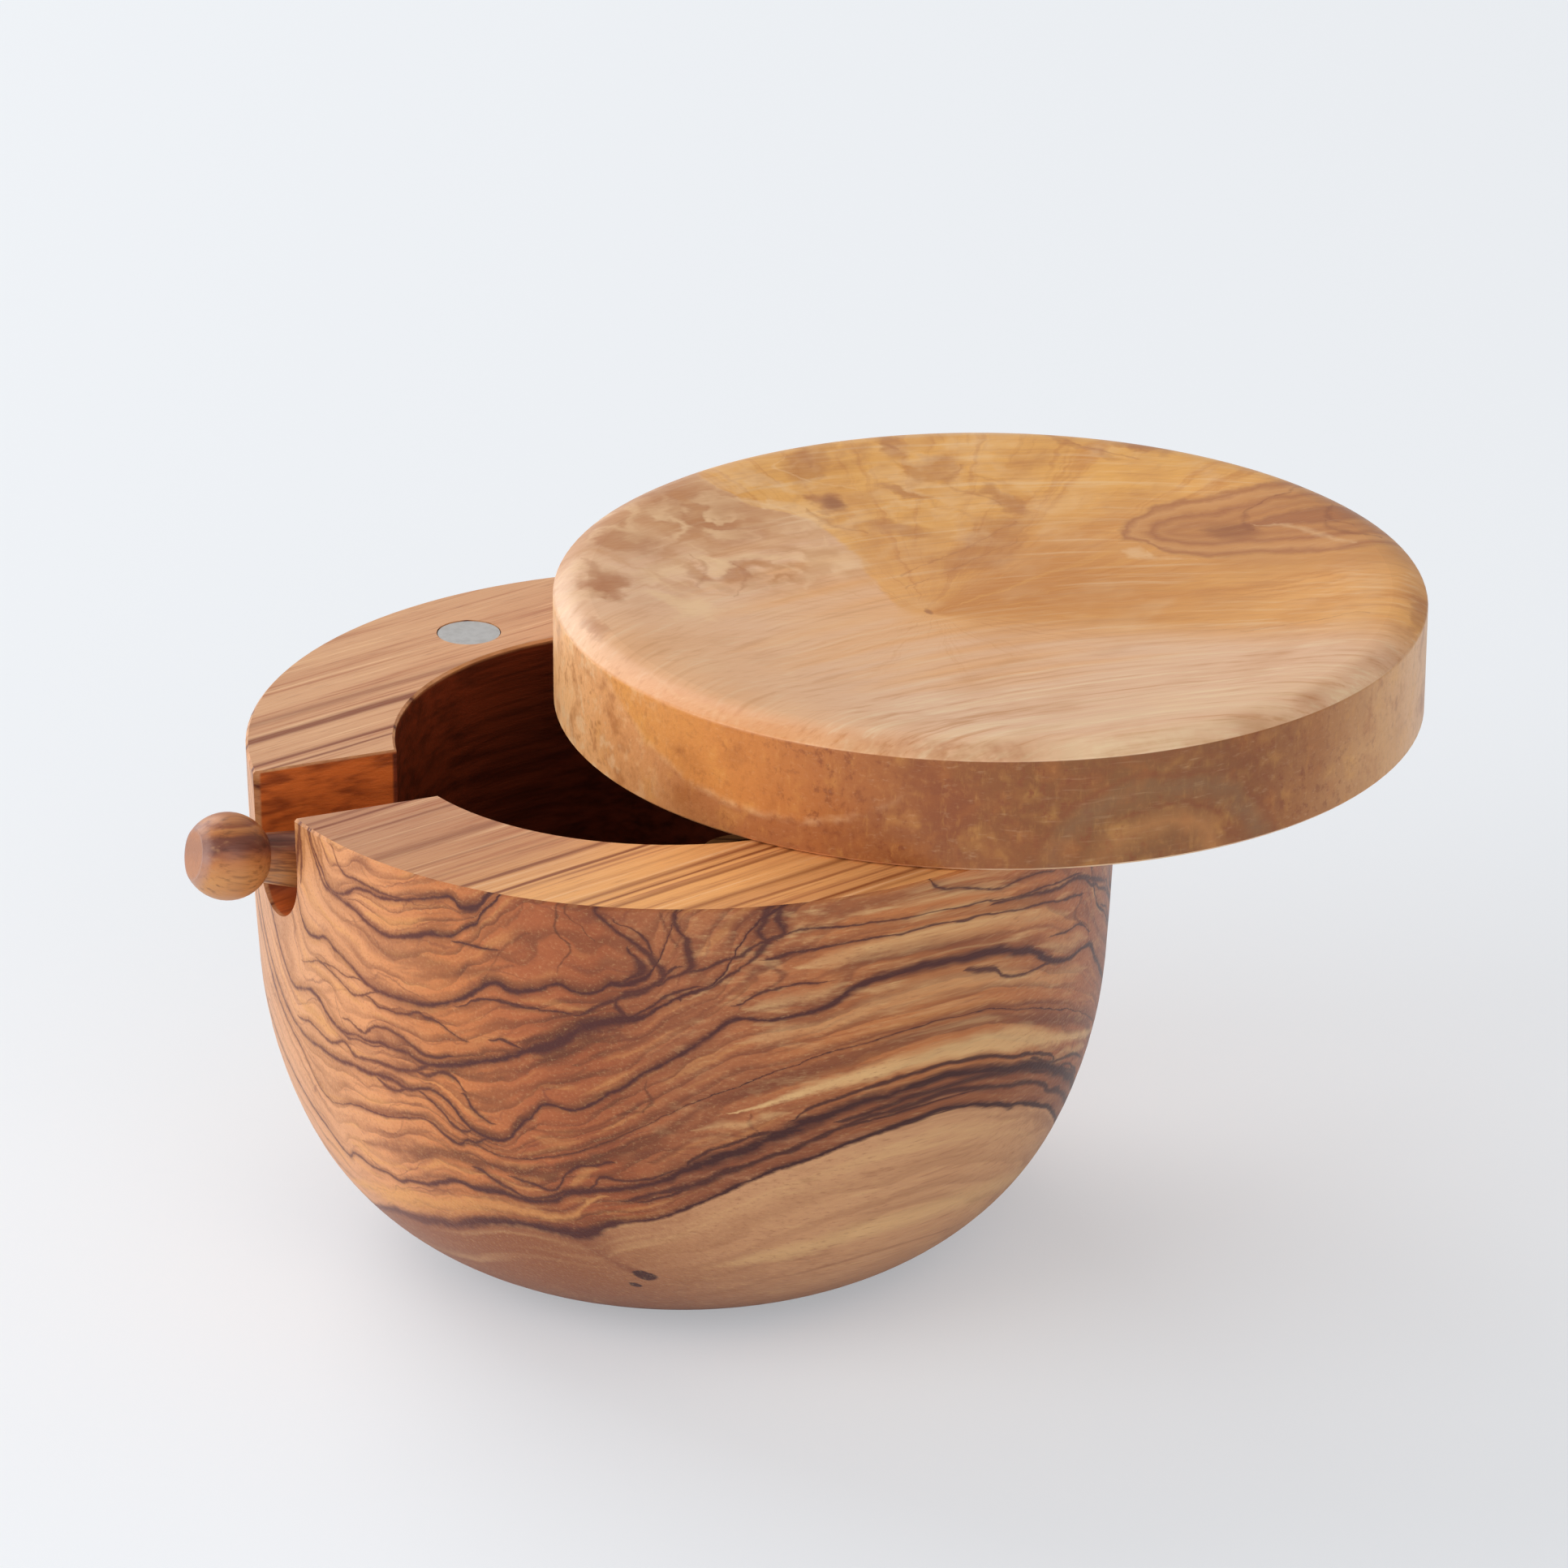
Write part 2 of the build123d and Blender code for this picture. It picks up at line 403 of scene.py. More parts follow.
# Lines are drawn as they lie on the front of the bowl. Each point is (across, depth, half
# width) in millimetres: across is measured square to the log, and depth down from the rim.
# Rings go right through the log, from the pith out. The number before each is the thickness
# of the brown shade that lies on it.
RINGS = [
    (.8, [(-12, -8, .3), (-4, -1, .3), (-3.1, 1.4, .35), (-1.3, 4.1, .4), (.5, 6.2, .45),
     (3.2, 5.9, .35), (5.9, 4.5, .25), (10, 4.5, .25), (13.5, 3.8, .2), (16, 2.9, .22),
     (18.4, 1.9, .25), (20, 1.5, .25), (20.7, 1.9, .3), (21.3, 2.4, .4), (22.3, 2.35, .5),
     (23.3, 1.9, .5), (24, .9, .4), (24.6, -.2, .4), (30, -7, .4)]),
    (1, [(-20, -8, .3), (-7, -6, .3), (-4, 0, .4), (-2, 4.4, .4), (-.6, 6.3, .45), (1, 6.6, .5),
     (3.5, 7.1, .5), (5.5, 7.8, .3), (7.6, 8.75, .3), (10, 9.2, .3), (11, 9.3, .25),
     (13, 8.75, .4), (15, 8.1, .45), (16.9, 7.2, .4), (18.4, 7, .3), (20, 6.7, .25),
     (21.1, 5.5, .2), (22, 4.8, .2), (23.2, 4.1, .25), (23.5, 3.2, .25), (24.3, 2, .25),
     (25.2, .9, .25), (25.7, -.3, .3), (31, -8, .4)]),
    (1.6, [(-30, -8, .5), (-14, -5, .5), (-9, 4, .5), (-7.2, 10.2, .45), (-6.5, 13, .45),
     (-5.5, 14.1, .45), (-4, 14.3, .35), (-2.7, 14.1, .3), (-1.3, 13.5, .35), (.9, 14.3, .4),
     (3.2, 15.2, .4), (5, 16.3, .4), (6.5, 17, .4), (8.5, 17.2, .4), (13, 17.1, .4),
     (16, 16.9, .4), (18.7, 16, .4), (20, 15.2, .35), (22, 13.8, .4), (23.6, 12.6, .4),
     (25.2, 11.7, .35), (26.1, 12.1, .35), (27.1, 12.5, .35), (28.5, 12.1, .4), (30, 11.4, .35),
     (31.6, 10.6, .25), (32.9, 11.2, .18), (34.5, 11.5, .15), (35.7, 11, .25), (36.5, 10, .35),
     (38, 9.8, .35), (39.2, 9.2, .5), (40.3, 8, .4), (41.2, 5, .15), (42.5, 0, .15),
     (46, -8, .5)]),
    (1.4, [(-34, -9, .6), (-24, -1, .6), (-17, 14, .6), (-12.5, 21.5, .5), (-10, 23.4, .4),
     (-7.5, 22.8, .4), (-5.4, 22.2, .4), (-3.4, 22.6, .4), (-2, 23.75, .35), (0, 24.8, .35),
     (1.9, 25.1, .4), (4.1, 24.7, .3), (5.9, 24.8, .3), (8, 24.3, .3), (10, 24.4, .3),
     (12.5, 24.2, .3), (14.4, 24.9, .25), (16, 24.9, .35), (18.4, 24.4, .35), (20.1, 23.9, .35),
     (22.3, 22.9, .3), (25, 21.8, .35), (27.1, 20.8, .4), (28.9, 19.7, .45), (30, 19.5, .7),
     (31.1, 18.75, .85), (32, 18, .9), (32.9, 17.1, .9), (33.9, 15.9, .9), (35, 15.4, .9),
     (37.1, 14.5, .8), (37.9, 14.3, .6), (39.3, 13.9, .4), (40.9, 12.5, .2), (42.9, 10.9, .22),
     (44.1, 10, .25), (45, 8.9, .2), (45.9, 6.6, .2), (47, 3, .2), (49.2, -1, .3), (52, -9, .5)]),
    (1, [(-40, -9, .7), (-30, -1, .8), (-22, 18, .6), (-13, 27.5, .45), (-10, 28.9, .4),
     (-7.5, 29.5, .45), (-4, 29.4, .45), (-.6, 29.5, .4), (2.1, 29.2, .4), (5.9, 29.1, .4),
     (8.2, 28.7, .4), (10.3, 28.7, .35), (12.1, 29.2, .3), (14.1, 28.6, .25), (16, 28.2, .25),
     (18, 29.1, .25), (18.9, 30, .25), (19.8, 31.1, .3), (20.8, 32.1, .3), (22, 32.7, .35),
     (24, 33.1, .3), (25.2, 32.6, .3), (26, 31.6, .4), (26.7, 30.4, .4), (27.5, 29.4, .35),
     (28.3, 28.6, .3), (28.9, 27.5, .3), (29.6, 26.8, .25), (31.5, 27, .2), (32.6, 27.2, .25),
     (33.5, 26.7, .25), (35.5, 24.9, .25), (37.5, 23.2, .35), (39, 21.5, .4), (41, 19.9, .4),
     (42.8, 18, .45), (44.3, 16.4, .5), (45.4, 14.7, .45), (46.3, 14.3, .25), (47.5, 14.5, .25),
     (49.5, 14.5, .35), (50.5, 13.9, .5), (51.3, 12.8, .55), (52, 11.9, .5), (53, 11.3, .6),
     (54.5, 11.2, .6)]),
    (1.6, [(-46, -9, .6), (-36, 2, .6), (-20, 24, .5), (-12, 30.5, .35), (-9.5, 31.9, .2),
     (-8.3, 33.2, .2), (-6.8, 35, .2), (-5, 36.3, .2), (-3, 36.8, .18), (-1.5, 36.4, .15),
     (.9, 35.4, .15), (4, 35, .18), (7, 34.6, .12), (9.4, 34.2, .1), (12, 33.4, .08),
     (15, 32.8, .05), (16.9, 34, .05), (18.5, 34.7, .05), (20.5, 34.3, .05), (24, 35.3, .05),
     (30, 34, .05), (36, 30.8, .05), (42, 26, .05), (48, 21.8, .06), (54, 18.5, .08)]),
    (1, [(-50, -9, .7), (-42, 6, .7), (-26, 30, .5), (-11, 40.3, .35), (-8.8, 41.6, .4),
     (-6.6, 42.9, .4), (-4.9, 44.3, .4), (-3.4, 44.9, .35), (-2, 43.9, .3), (-.6, 43.7, .3),
     (1.9, 44.3, .3), (5, 44, .25), (6.9, 44.5, .3), (8.7, 43.75, .3), (10.5, 43.3, .2),
     (12, 43, .35), (14.2, 42, .4), (16, 41.1, .4), (17.6, 40.9, .35), (19, 41.2, .4),
     (20.5, 41.1, .4), (22.3, 41, .45), (25, 41.5, .5), (27, 41.3, .5), (29, 40.6, .4),
     (30.5, 39.3, .35), (32, 38.9, .45), (34, 38.3, .4), (36, 37.6, .35), (38, 36.9, .4),
     (39.5, 36.3, .45), (41, 35.3, .6), (42.3, 34.3, .8), (43.5, 33.4, .9), (45, 32.5, .9),
     (46.5, 31.3, .9), (47.8, 30.2, 1), (48.8, 29.3, 1), (49.8, 28.5, .9), (51, 27.8, .8),
     (52, 27.3, .65), (53, 27, .6), (54.5, 26.8, .5)]),
    (1.2, [(-53, -9, .8), (-47, 10, .8), (-34, 36, .7), (-10, 55.5, .6), (-6, 54.4, .6),
     (-3.4, 53.4, .7), (0, 52, .75), (1.9, 51.3, .7), (4.1, 50.8, .75), (7.6, 50.4, .8),
     (9.4, 49.8, .75), (13, 48.9, .8), (15, 47.9, .8), (18.4, 46.5, .75), (20, 46, .75),
     (22.3, 45.5, .7), (25, 45.4, .6), (26.5, 45.5, .8), (28, 45.7, 1), (30, 45.7, 1),
     (31, 45.2, .9), (32.1, 44.4, .7), (33.2, 43.7, .55), (35, 43, .3), (37.9, 41.9, .28),
     (40.7, 40.3, .3), (43.2, 38.3, .3), (45.9, 36.2, .3), (48.9, 34.2, .3), (50.4, 33.3, .3),
     (52.1, 31.9, .35), (52.9, 31.3, .4), (54.5, 31, .4)]),
]
# Shorter dark lines.
STRANDS = [
    [(1.1, .4, .1), (1.6, 1.4, .15), (3.2, 3.2, .15), (6, 3.5, .15), (8.7, 3.75, .2),
     (11, 3.9, .15), (13, 3.7, .1)],
    [(-3.4, 17.1, .1), (-2.7, 17.4, .15), (-1.3, 17, .18), (.1, 16.9, .18), (2.8, 17.3, .15),
     (4.1, 16.9, .15), (5.4, 17, .1)],
    [(-7.2, 18.9, .1), (-4.9, 18.2, .18), (-3.1, 17.4, .18), (-1.5, 17.4, .18), (.9, 18.2, .18),
     (2.8, 19.2, .18), (4.1, 19.5, .2), (5.1, 19.2, .2), (6, 18.8, .2), (6.9, 18.1, .18),
     (8.5, 17.4, .1)],
    [(6, 18.8, .1), (7.1, 18.9, .2), (8.2, 19.5, .2), (9.4, 19.4, .15), (12.5, 19.2, .18),
     (13.5, 18.8, .2), (14.8, 18.2, .2), (15.7, 18.6, .2), (16.9, 18.6, .15), (18.4, 19.3, .12),
     (21, 20.5, .1)],
    [(1.6, 23.4, .1), (2.8, 23.2, .2), (4.1, 23.75, .2), (5.5, 23.9, .2), (6.4, 23.2, .2),
     (7.3, 22.6, .2), (8.5, 22.2, .2), (11.2, 22.3, .25), (13.4, 23, .2), (14.4, 23.6, .2),
     (17.3, 23.6, .15), (19, 23, .1)],
    [(.9, 25.1, .2), (2.3, 25.6, .25), (3.7, 25.3, .2), (6.4, 25.2, .2), (8.7, 24.7, .1)],
    [(-9.7, 27.4, .1), (-8.4, 27.3, .2), (-6.3, 26.8, .2), (-4, 27.2, .2), (-1.6, 27.6, .2),
     (-.75, 27.4, .2), (.3, 26.9, .25), (1.2, 26.4, .2), (2.1, 26.6, .25), (3.2, 27.5, .3),
     (5, 27.5, .3), (7.3, 27, .28), (10, 27, .28), (12.5, 26.6, .28), (13.9, 26.2, .3),
     (15, 25.5, .3), (16, 25, .2)],
    [(13.7, 26.3, .1), (15.3, 26.5, .25), (16.6, 25.9, .2), (17.5, 25.5, .2), (18.6, 25.6, .2),
     (19.5, 26.2, .15), (20.3, 27.2, .1)],
    [(20.2, 27.6, .1), (20.9, 28.6, .35), (21.5, 29.4, .25), (22.3, 30.1, .2), (23.5, 30.8, .1)],
    [(7.3, 29.3, .15), (8.5, 29.8, .25), (9.4, 30.15, .3), (10.3, 30.1, .3), (11.4, 29.5, .2),
     (12.1, 29.3, .1)],
    [(13.8, 28.9, .1), (15.3, 29.5, .2), (16.6, 30.4, .25), (17.5, 31.2, .25), (18.5, 32.2, .25),
     (19.6, 32.7, .2), (20.4, 32.5, .15), (21, 32.1, .1)],
    [(14.8, 32.9, .1), (16.9, 34.1, .2), (18.2, 34.8, .2), (19.3, 34.5, .2), (20, 33.8, .15),
     (21, 34, .2), (22, 33.5, .2), (22.8, 33, .15)],
    [(20, 37.8, .1), (21.1, 38.1, .25), (21.8, 38.9, .3), (23.2, 39.75, .3), (24.3, 40.4, .3),
     (25, 41, .25), (26, 41, .2), (27.5, 40.6, .25), (28.6, 40.1, .3), (29.6, 39.5, .25),
     (30.7, 39.1, .15)],
    [(24.5, 38.2, .1), (25.7, 38.5, .3), (26.8, 38.7, .2), (28.6, 39.2, .2), (29.5, 38.8, .2),
     (30, 38, .2), (30.5, 36.8, .2), (31.3, 35.8, .2), (32.5, 34.9, .2), (33.8, 34.5, .2),
     (35.4, 33.9, .1)],
    [(32.3, 38.6, .1), (33, 37.9, .2), (33.5, 37.4, .2), (33.9, 36.5, .22), (34.5, 36.1, .22),
     (35.4, 36.4, .2), (37, 36.4, .2), (38.6, 36, .2), (39.5, 35.6, .2), (40.5, 34.9, .15)],
    [(35.5, 39.6, .1), (37, 38.9, .3), (38.5, 38.2, .3), (39.5, 37.8, .3), (41.1, 37.3, .4),
     (42.3, 36.7, .45), (43.6, 35.5, .45), (45, 34.75, .35), (46.4, 33.7, .35), (47.9, 32.8, .3),
     (48.9, 31.7, .3), (50.4, 30.6, .3), (52.1, 29.5, .35), (53.5, 29, .35)],
    [(36.8, 39.6, .1), (38.6, 38.9, .22), (39.6, 38.5, .22), (40.9, 37.7, .15)],
    [(41.3, 34.7, .1), (42, 33.6, .25), (43.2, 32.4, .28), (44.5, 31.4, .25), (45.4, 30.8, .22),
     (46.1, 30.2, .25), (47.2, 30, .25), (48.2, 29.8, .1)],
    [(48.4, 28.9, .1), (48.7, 28, .25), (49.5, 27, .25), (50.5, 26.3, .25), (51.5, 25.8, .25),
     (52.5, 25.3, .25), (53.5, 25.1, .25), (54.5, 25, .2)],
    [(33.5, 14.4, .1), (35, 13.3, .25), (36.1, 12.5, .3), (37.1, 11.9, .35), (37.9, 11.2, .4),
     (39.3, 10.6, .45), (40.2, 9.9, .45), (40.9, 9.1, .4), (41.5, 8.3, .3), (42.2, 7.3, .2)],
    [(38, 14, .1), (39.3, 13.2, .18), (40.6, 12, .2), (41.6, 11, .2), (42.6, 10.5, .15),
     (43.5, 9.9, .1)],
    [(40.7, 9.8, .2), (41.6, 8.9, .25), (42.5, 8.4, .25), (43.2, 8, .2), (43.9, 7.7, .2),
     (44.6, 7.3, .2), (45.5, 6.6, .2), (46.4, 6.2, .22), (47.1, 5.4, .25), (47.9, 4.5, .2)],
    [(20, 16.1, .1), (21.1, 15.6, .15), (22.3, 14.6, .2), (23.2, 14.3, .15), (24.5, 14.1, .15),
     (26, 14.1, .2), (27.5, 14.35, .2), (29.5, 14.3, .12), (33, 14.2, .1)],
    [(20, 7.4, .1), (22.5, 7.4, .15), (25.2, 7.2, .1)],
    [(24.1, 19.6, .1), (25.2, 19.2, .15), (26.3, 19.4, .15), (27.3, 19.8, .1)],
    [(48.4, 3.8, .1), (49, 3.5, .15), (50.9, 3.4, .15), (52.1, 3.7, .15), (53.7, 4.2, .15)],
    [(48, 6.9, .1), (48.9, 6.3, .2), (50, 6.2, .18), (51.3, 5.95, .15), (53.7, 6, .15)],
    [(45.9, 12.6, .1), (46.8, 11.6, .15), (47.6, 10.8, .15), (48.6, 10.5, .12),
     (50.5, 10.6, .1)],
]
# Dark lines that stand nearly upright: points (depth, across, half width).
UPRIGHTS = [
    [(-2, 35.2, .3), (0, 35.5, .35), (.9, 35.7, .3), (1.6, 36.4, .28), (2.3, 37, .28),
     (3.2, 37.9, .3), (4.2, 38.9, .3), (5.5, 39.9, .35), (6.6, 40.5, .3), (7.7, 41.1, .3),
     (8.7, 41.2, .3), (9.6, 40.8, .3)],
    [(1.6, 37.3, .1), (2.5, 38.8, .14), (3.4, 39.6, .15), (4.3, 40, .15), (5.6, 40.2, .1)],
    [(5, 38.4, .1), (6.1, 39.1, .3), (7.1, 39.5, .5), (8, 39.4, .6), (8.8, 38.8, .35),
     (9.4, 37.9, .2)],
    [(-2, 42, .2), (0, 42.1, .2), (1.8, 42.2, .2), (2.7, 42.3, .2), (3.6, 42.9, .25),
     (4.6, 43, .28), (5.7, 43, .3), (7.1, 43.2, .35), (7.9, 43, .3), (8.4, 42.4, .2)],
    [(-2, 48.2, .25), (.4, 48, .25), (1.8, 47.9, .22), (3, 47.5, .22), (3.9, 47.7, .2),
     (4.5, 47.9, .15)],
    [(-2, 48.9, .2), (.4, 48.75, .2), (2.1, 48.75, .2), (2.9, 48.9, .18), (3.8, 48.6, .22),
     (4.5, 48, .22), (6.1, 47.5, .2), (7.1, 47, .18), (8, 46.25, .18), (8.6, 45.5, .18),
     (9.3, 45, .18), (10.2, 44.1, .2), (10.9, 43, .22), (11.6, 42.2, .15)],
    [(-1, -6, .3), (1, -6.1, .35), (3, -6.5, .4), (5, -7, .4), (7, -7.4, .3), (8.5, -7.5, .15)],
    [(0, -6.2, .2), (2, -5.9, .3), (4, -5.9, .35), (6, -6.1, .3), (8, -6.3, .15)],
    [(12.1, 37.1, .2), (13.2, 37.4, .3), (14.2, 37.9, .2)],
]
# Softer brown lines that stand nearly upright.
UPRIGHT_BANDS = [
    [(.5, 41.1, .2), (2.1, 41.4, .3), (3.6, 41.8, .3), (4.6, 42.3, .2)],
    [(-2, 33, .15), (.4, 32.8, .2), (1.3, 32.8, .2), (2, 33.2, .18), (2.8, 34.2, .15),
     (3.7, 34.6, .15), (4.4, 35.4, .12)],
    [(-2, 32.2, .2), (.4, 32, .25), (1.8, 31.8, .25), (3.6, 31.6, .22), (4.6, 32.2, .2),
     (5.2, 32.9, .22), (6, 33, .22), (7, 32.5, .25), (8, 32, .2), (9, 31.6, .1)],
    [(6.6, 48, .1), (7.5, 48, .2), (8.6, 48.6, .25), (9.5, 48.5, .25), (10.4, 47.8, .2),
     (11.6, 46.4, .2), (12.9, 46.1, .15)],
    [(-1, -4.8, .2), (1, -4.8, .25), (3, -5, .25), (5, -5.3, .2), (6.5, -5.5, .1)],
    [(-1, -1.6, .2), (.6, -1.5, .3), (2, -1.1, .3), (3.4, -.8, .25), (4.8, -.4, .15)],
    [(22.6, 39.2, .15), (23.4, 39, .25), (24.3, 39.3, .25), (25.2, 39.5, .25), (25.9, 39.3, .25),
     (26.5, 38.7, .2)],
    [(27.4, 46.2, .1), (28.2, 46.1, .2), (29.2, 46.2, .2), (29.9, 46.6, .1)],
]
# The streak of a small twig, which stands upright too.
TWIG = [(44.6, 29, 3.6), (46.5, 29.3, 3.1), (47.5, 29.9, 2.4), (49, 30.7, 1.7), (50.5, 31.6, 1.3),
        (52, 32.6, 1)]
# Dark lines of the right-hand side: points (along the log, down from the rim, half width).
SIDE_LINES = [
    [(-5, -.5, .2), (-4.5, .6, .25), (-2.8, 1.7, .22), (0, 2.4, .2), (3.2, 3.4, .18),
     (6.5, 4.3, .2), (10, 4.3, .2), (14, 4.8, .15), (17, 5.6, .1)],
    [(5, 6, .1), (8, 6.3, .2), (11.9, 7, .35), (15.2, 7.8, .35), (18.2, 8.4, .25),
     (21.8, 8.7, .25), (24.2, 9.6, .3), (27, 11.3, .3), (30, 13, .3), (36, 16, .3)],
    [(1.1, 13.4, .2), (2.9, 13.9, .4), (4.7, 14.4, .35), (6.2, 14.9, .3), (7.1, 15.9, .25),
     (8.3, 16.5, .2), (10.1, 17.1, .18), (12.2, 17.5, .18), (14.6, 17.6, .18), (16.7, 17.9, .15),
     (18.2, 18.4, .1)],
    [(-16, 29.7, .15), (-14.4, 29.6, .35), (-12.6, 29.4, .4), (-9, 28.8, .45), (-5, 28.5, .45),
     (0, 28.7, .45), (5, 29, .5), (9, 30, .5), (13, 31, .45), (15.5, 32.6, .35), (18.8, 33.9, .3),
     (21, 34.6, .3), (25, 37, .3), (32, 41, .3)],
    [(14, 30, .15), (15.2, 30.6, .35), (17, 31.8, .3), (18.8, 32.7, .3), (20.9, 33.3, .25),
     (25.1, 34.6, .25), (32, 38.6, .2)],
    [(-20, 31.8, .1), (-17, 31, .25), (-14, 30.5, .25), (-10, 30.3, .2), (-5, 30.1, .2),
     (0, 30.3, .15), (6, 30.8, .1)],
    [(-8, 32, .1), (-4, 31.9, .15), (0, 32.1, .15), (5, 32.6, .1)],
]
# Yellow pockets of the right-hand side: strength, then points as above.
POCKETS = [
    (.75, [(6, 24, .2), (9, 24.8, 1.2), (12, 25.9, 1.7), (15, 27.4, 1.4), (18, 28.9, 1),
     (22, 30.5, .9), (27, 32.6, .8), (33, 35.6, .6)]),
]
# A pale band and a brown line in the sapwood of that side.
SAP_BAND = [(-27, 51, .3), (-22, 49.5, 1.2), (-12, 48, 1.8), (0, 47.6, 2), (12, 49, 1.8),
            (22, 52, 1.4), (28, 55, .5)]
SAP_LINE = [(-20, 54.4, .2), (-14.4, 53.5, .3), (-9.9, 52.8, .3), (-4.5, 52.4, .3), (0, 52.6, .3),
            (8, 53.6, .2)]
# Soft brown bands, then paler ones: strength, then points (across, depth, half width).
BANDS = [
    (.45, [(4.3, 8.6, .3), (5.5, 10, .8), (7.3, 10.9, 1.1), (10, 11.3, 1.3), (13, 11, 1.2),
     (16, 11.2, 1.2), (19, 11.3, 1.3), (22, 10.9, 1), (25, 10, .6), (27, 9, .3)]),
    (.5, [(-9, 33, .3), (-6.5, 34.6, 1), (-4, 35.2, 1.4), (-1, 35, 1.1), (3, 34.7, .7),
     (7, 34, .7), (11, 33.2, .6), (14.5, 32.4, .3)]),
    (.75, [(2, 40.4, .3), (5, 39.6, 1), (9, 38.9, 1.5), (12, 38.3, 1.7), (15, 37.2, 1),
     (18, 36.9, 1), (22, 37, 1.2), (26, 37.1, 1.3), (29, 37, 1.3), (30.5, 35.6, 1), (33.4, 34, .9),
     (36, 32.8, .9), (38.5, 31.2, 1), (40.5, 29.5, 1.1), (42.2, 27.5, 1.1), (43.8, 25.6, .9),
     (45.4, 24.6, .9), (47.9, 23.2, 1), (50.4, 21.7, 1), (52, 20.6, 1), (53, 20, 1.1),
     (54.5, 19.8, 1.1)]),
    (.5, [(27.9, 30.6, .2), (30, 30.5, .5), (32.9, 29.9, .5), (34.5, 29.1, .4), (35.8, 28.1, .35),
     (36.8, 27.2, .3), (38.5, 26.7, .3)]),
    (.55, [(39, 33.8, .3), (40.5, 32.6, .6), (41.8, 31.2, .6), (43, 30.1, .5), (44.2, 29.8, .4),
     (45.5, 30.1, .3)]),
    (.35, [(-4, 21.4, .3), (-1, 20.6, .4), (2.3, 19.4, .2)]),
    (.4, [(22.5, 24.4, .2), (25, 23.4, .5), (28, 22.3, .6), (31, 20.6, .5), (34, 18.6, .4),
     (37, 16.5, .2)]),
    (.5, [(27, 19.2, .2), (29, 18.4, .6), (31, 17.2, .8), (33, 15.6, .8), (35, 14.5, .4)]),
    (.5, [(33, 21, .2), (35.2, 19.5, .5), (37.9, 17.9, .6), (40.5, 16, .6), (43.2, 14, .6),
     (45, 11.6, .5), (46.5, 9.6, .4), (47.8, 8, .3)]),
    (.35, [(20, 27.6, .3), (24, 26.6, .8), (28, 25, .6), (32, 23.6, .5), (36, 21.4, .4)]),
    (.4, [(26, 4, .3), (27, 3, .5), (28, 1.6, .5), (28.6, 0, .6), (29, -2, .6)]),
    (.4, [(22.3, 13.2, .2), (23.6, 11.8, .4), (24.5, 10, .5), (25.4, 8, .5), (26.6, 6.1, .4),
     (27.6, 5.3, .4), (28.6, 4.3, .3)]),
    (.4, [(49.5, 10.4, .3), (51, 9.3, .5), (52.1, 8.9, .4), (54, 8.9, .4)]),
    (.35, [(45, 2, .5), (47, 1.4, 1.2), (50, 1.2, 1.4), (52.5, 1.6, 1.3), (54.5, 1.8, 1.2)]),
]
PALES = [
    (.8, [(-8, 51, .3), (-4, 49.6, .9), (0, 48.6, 1.5), (4, 47.9, 1.6), (8, 47, 1.5),
     (12, 46, 1.4), (16, 44.8, 1.3), (20, 43.4, 1.2), (25, 43.3, 1.1), (28.5, 43.4, .9),
     (30.5, 42.5, .7), (31.5, 41.3, .5), (32.5, 40.2, .4), (34, 39.2, .25)]),
    (.85, [(45, 27, .1), (46.5, 26.4, .3), (48, 25.7, .5), (49.5, 24.8, .7), (50.5, 24.3, .9),
     (51.5, 23.8, 1), (52.4, 23.5, 1.1), (53, 23.3, 1.2), (54.5, 23.2, 1.2)]),
    (.5, [(-10, 24.2, .2), (-8, 25, .8), (-5, 25.2, 1.1), (-2, 25.8, .9), (0, 26, .4)]),
    (.5, [(-3, 44.9, .2), (-1.5, 45.1, .7), (0, 45.3, .6), (1.5, 45.6, .3), (3.5, 45.2, .15)]),
    (.5, [(-1.5, 41.9, .2), (1, 42, .7), (3.5, 42.6, .5), (6, 42.2, .5), (8.5, 41.6, .5),
     (10, 41.8, .2)]),
    (.5, [(11.5, 40.5, .2), (13.5, 39.8, .5), (15, 38.9, .6), (17, 39, .6), (19, 38.7, .5),
     (20.5, 38.8, .3)]),
    (.45, [(21, 38.6, .2), (22.5, 38.6, .4), (24, 39.2, .5), (25.5, 39.6, .4), (27.5, 39.5, .2)]),
    (.5, [(31, 38, .2), (31.8, 36.9, .9), (32.8, 36, .9), (33.8, 35, .3)]),
    (.45, [(42.5, 29.4, .2), (44, 28.7, .8), (46, 28.5, .6), (47, 27.9, .8), (48.2, 27.7, .3)]),
    (.4, [(46.5, 13.1, .2), (48, 12.4, 1), (50, 12.2, 1), (51.3, 11.4, .4)]),
    (.35, [(28, 13.4, .2), (30, 13.1, .7), (32, 13.3, .6), (34, 13.6, .2)]),
    (.35, [(46, 17.5, .2), (48.5, 16.6, 1.2), (51, 16.2, 1.2), (53, 14.5, 1.5), (54.5, 14, 1.5)]),
    (.4, [(49.5, 8.2, .3), (51.5, 7.6, 1.1), (53, 7.2, 1.3), (54.5, 7, 1.3)]),
    (.3, [(28, 31.6, .3), (29.5, 32, 1), (31.5, 31.8, .8), (33, 31.3, .3)]),
    (.3, [(42.6, 11.6, .1), (43.6, 10.8, .25), (44.8, 9.4, .3), (45.6, 7.8, .25), (46.3, 7, .1)]),
    (.4, [(7, 7.4, .2), (10, 7.6, .8), (13, 7, .6), (16, 6, .3)]),
]
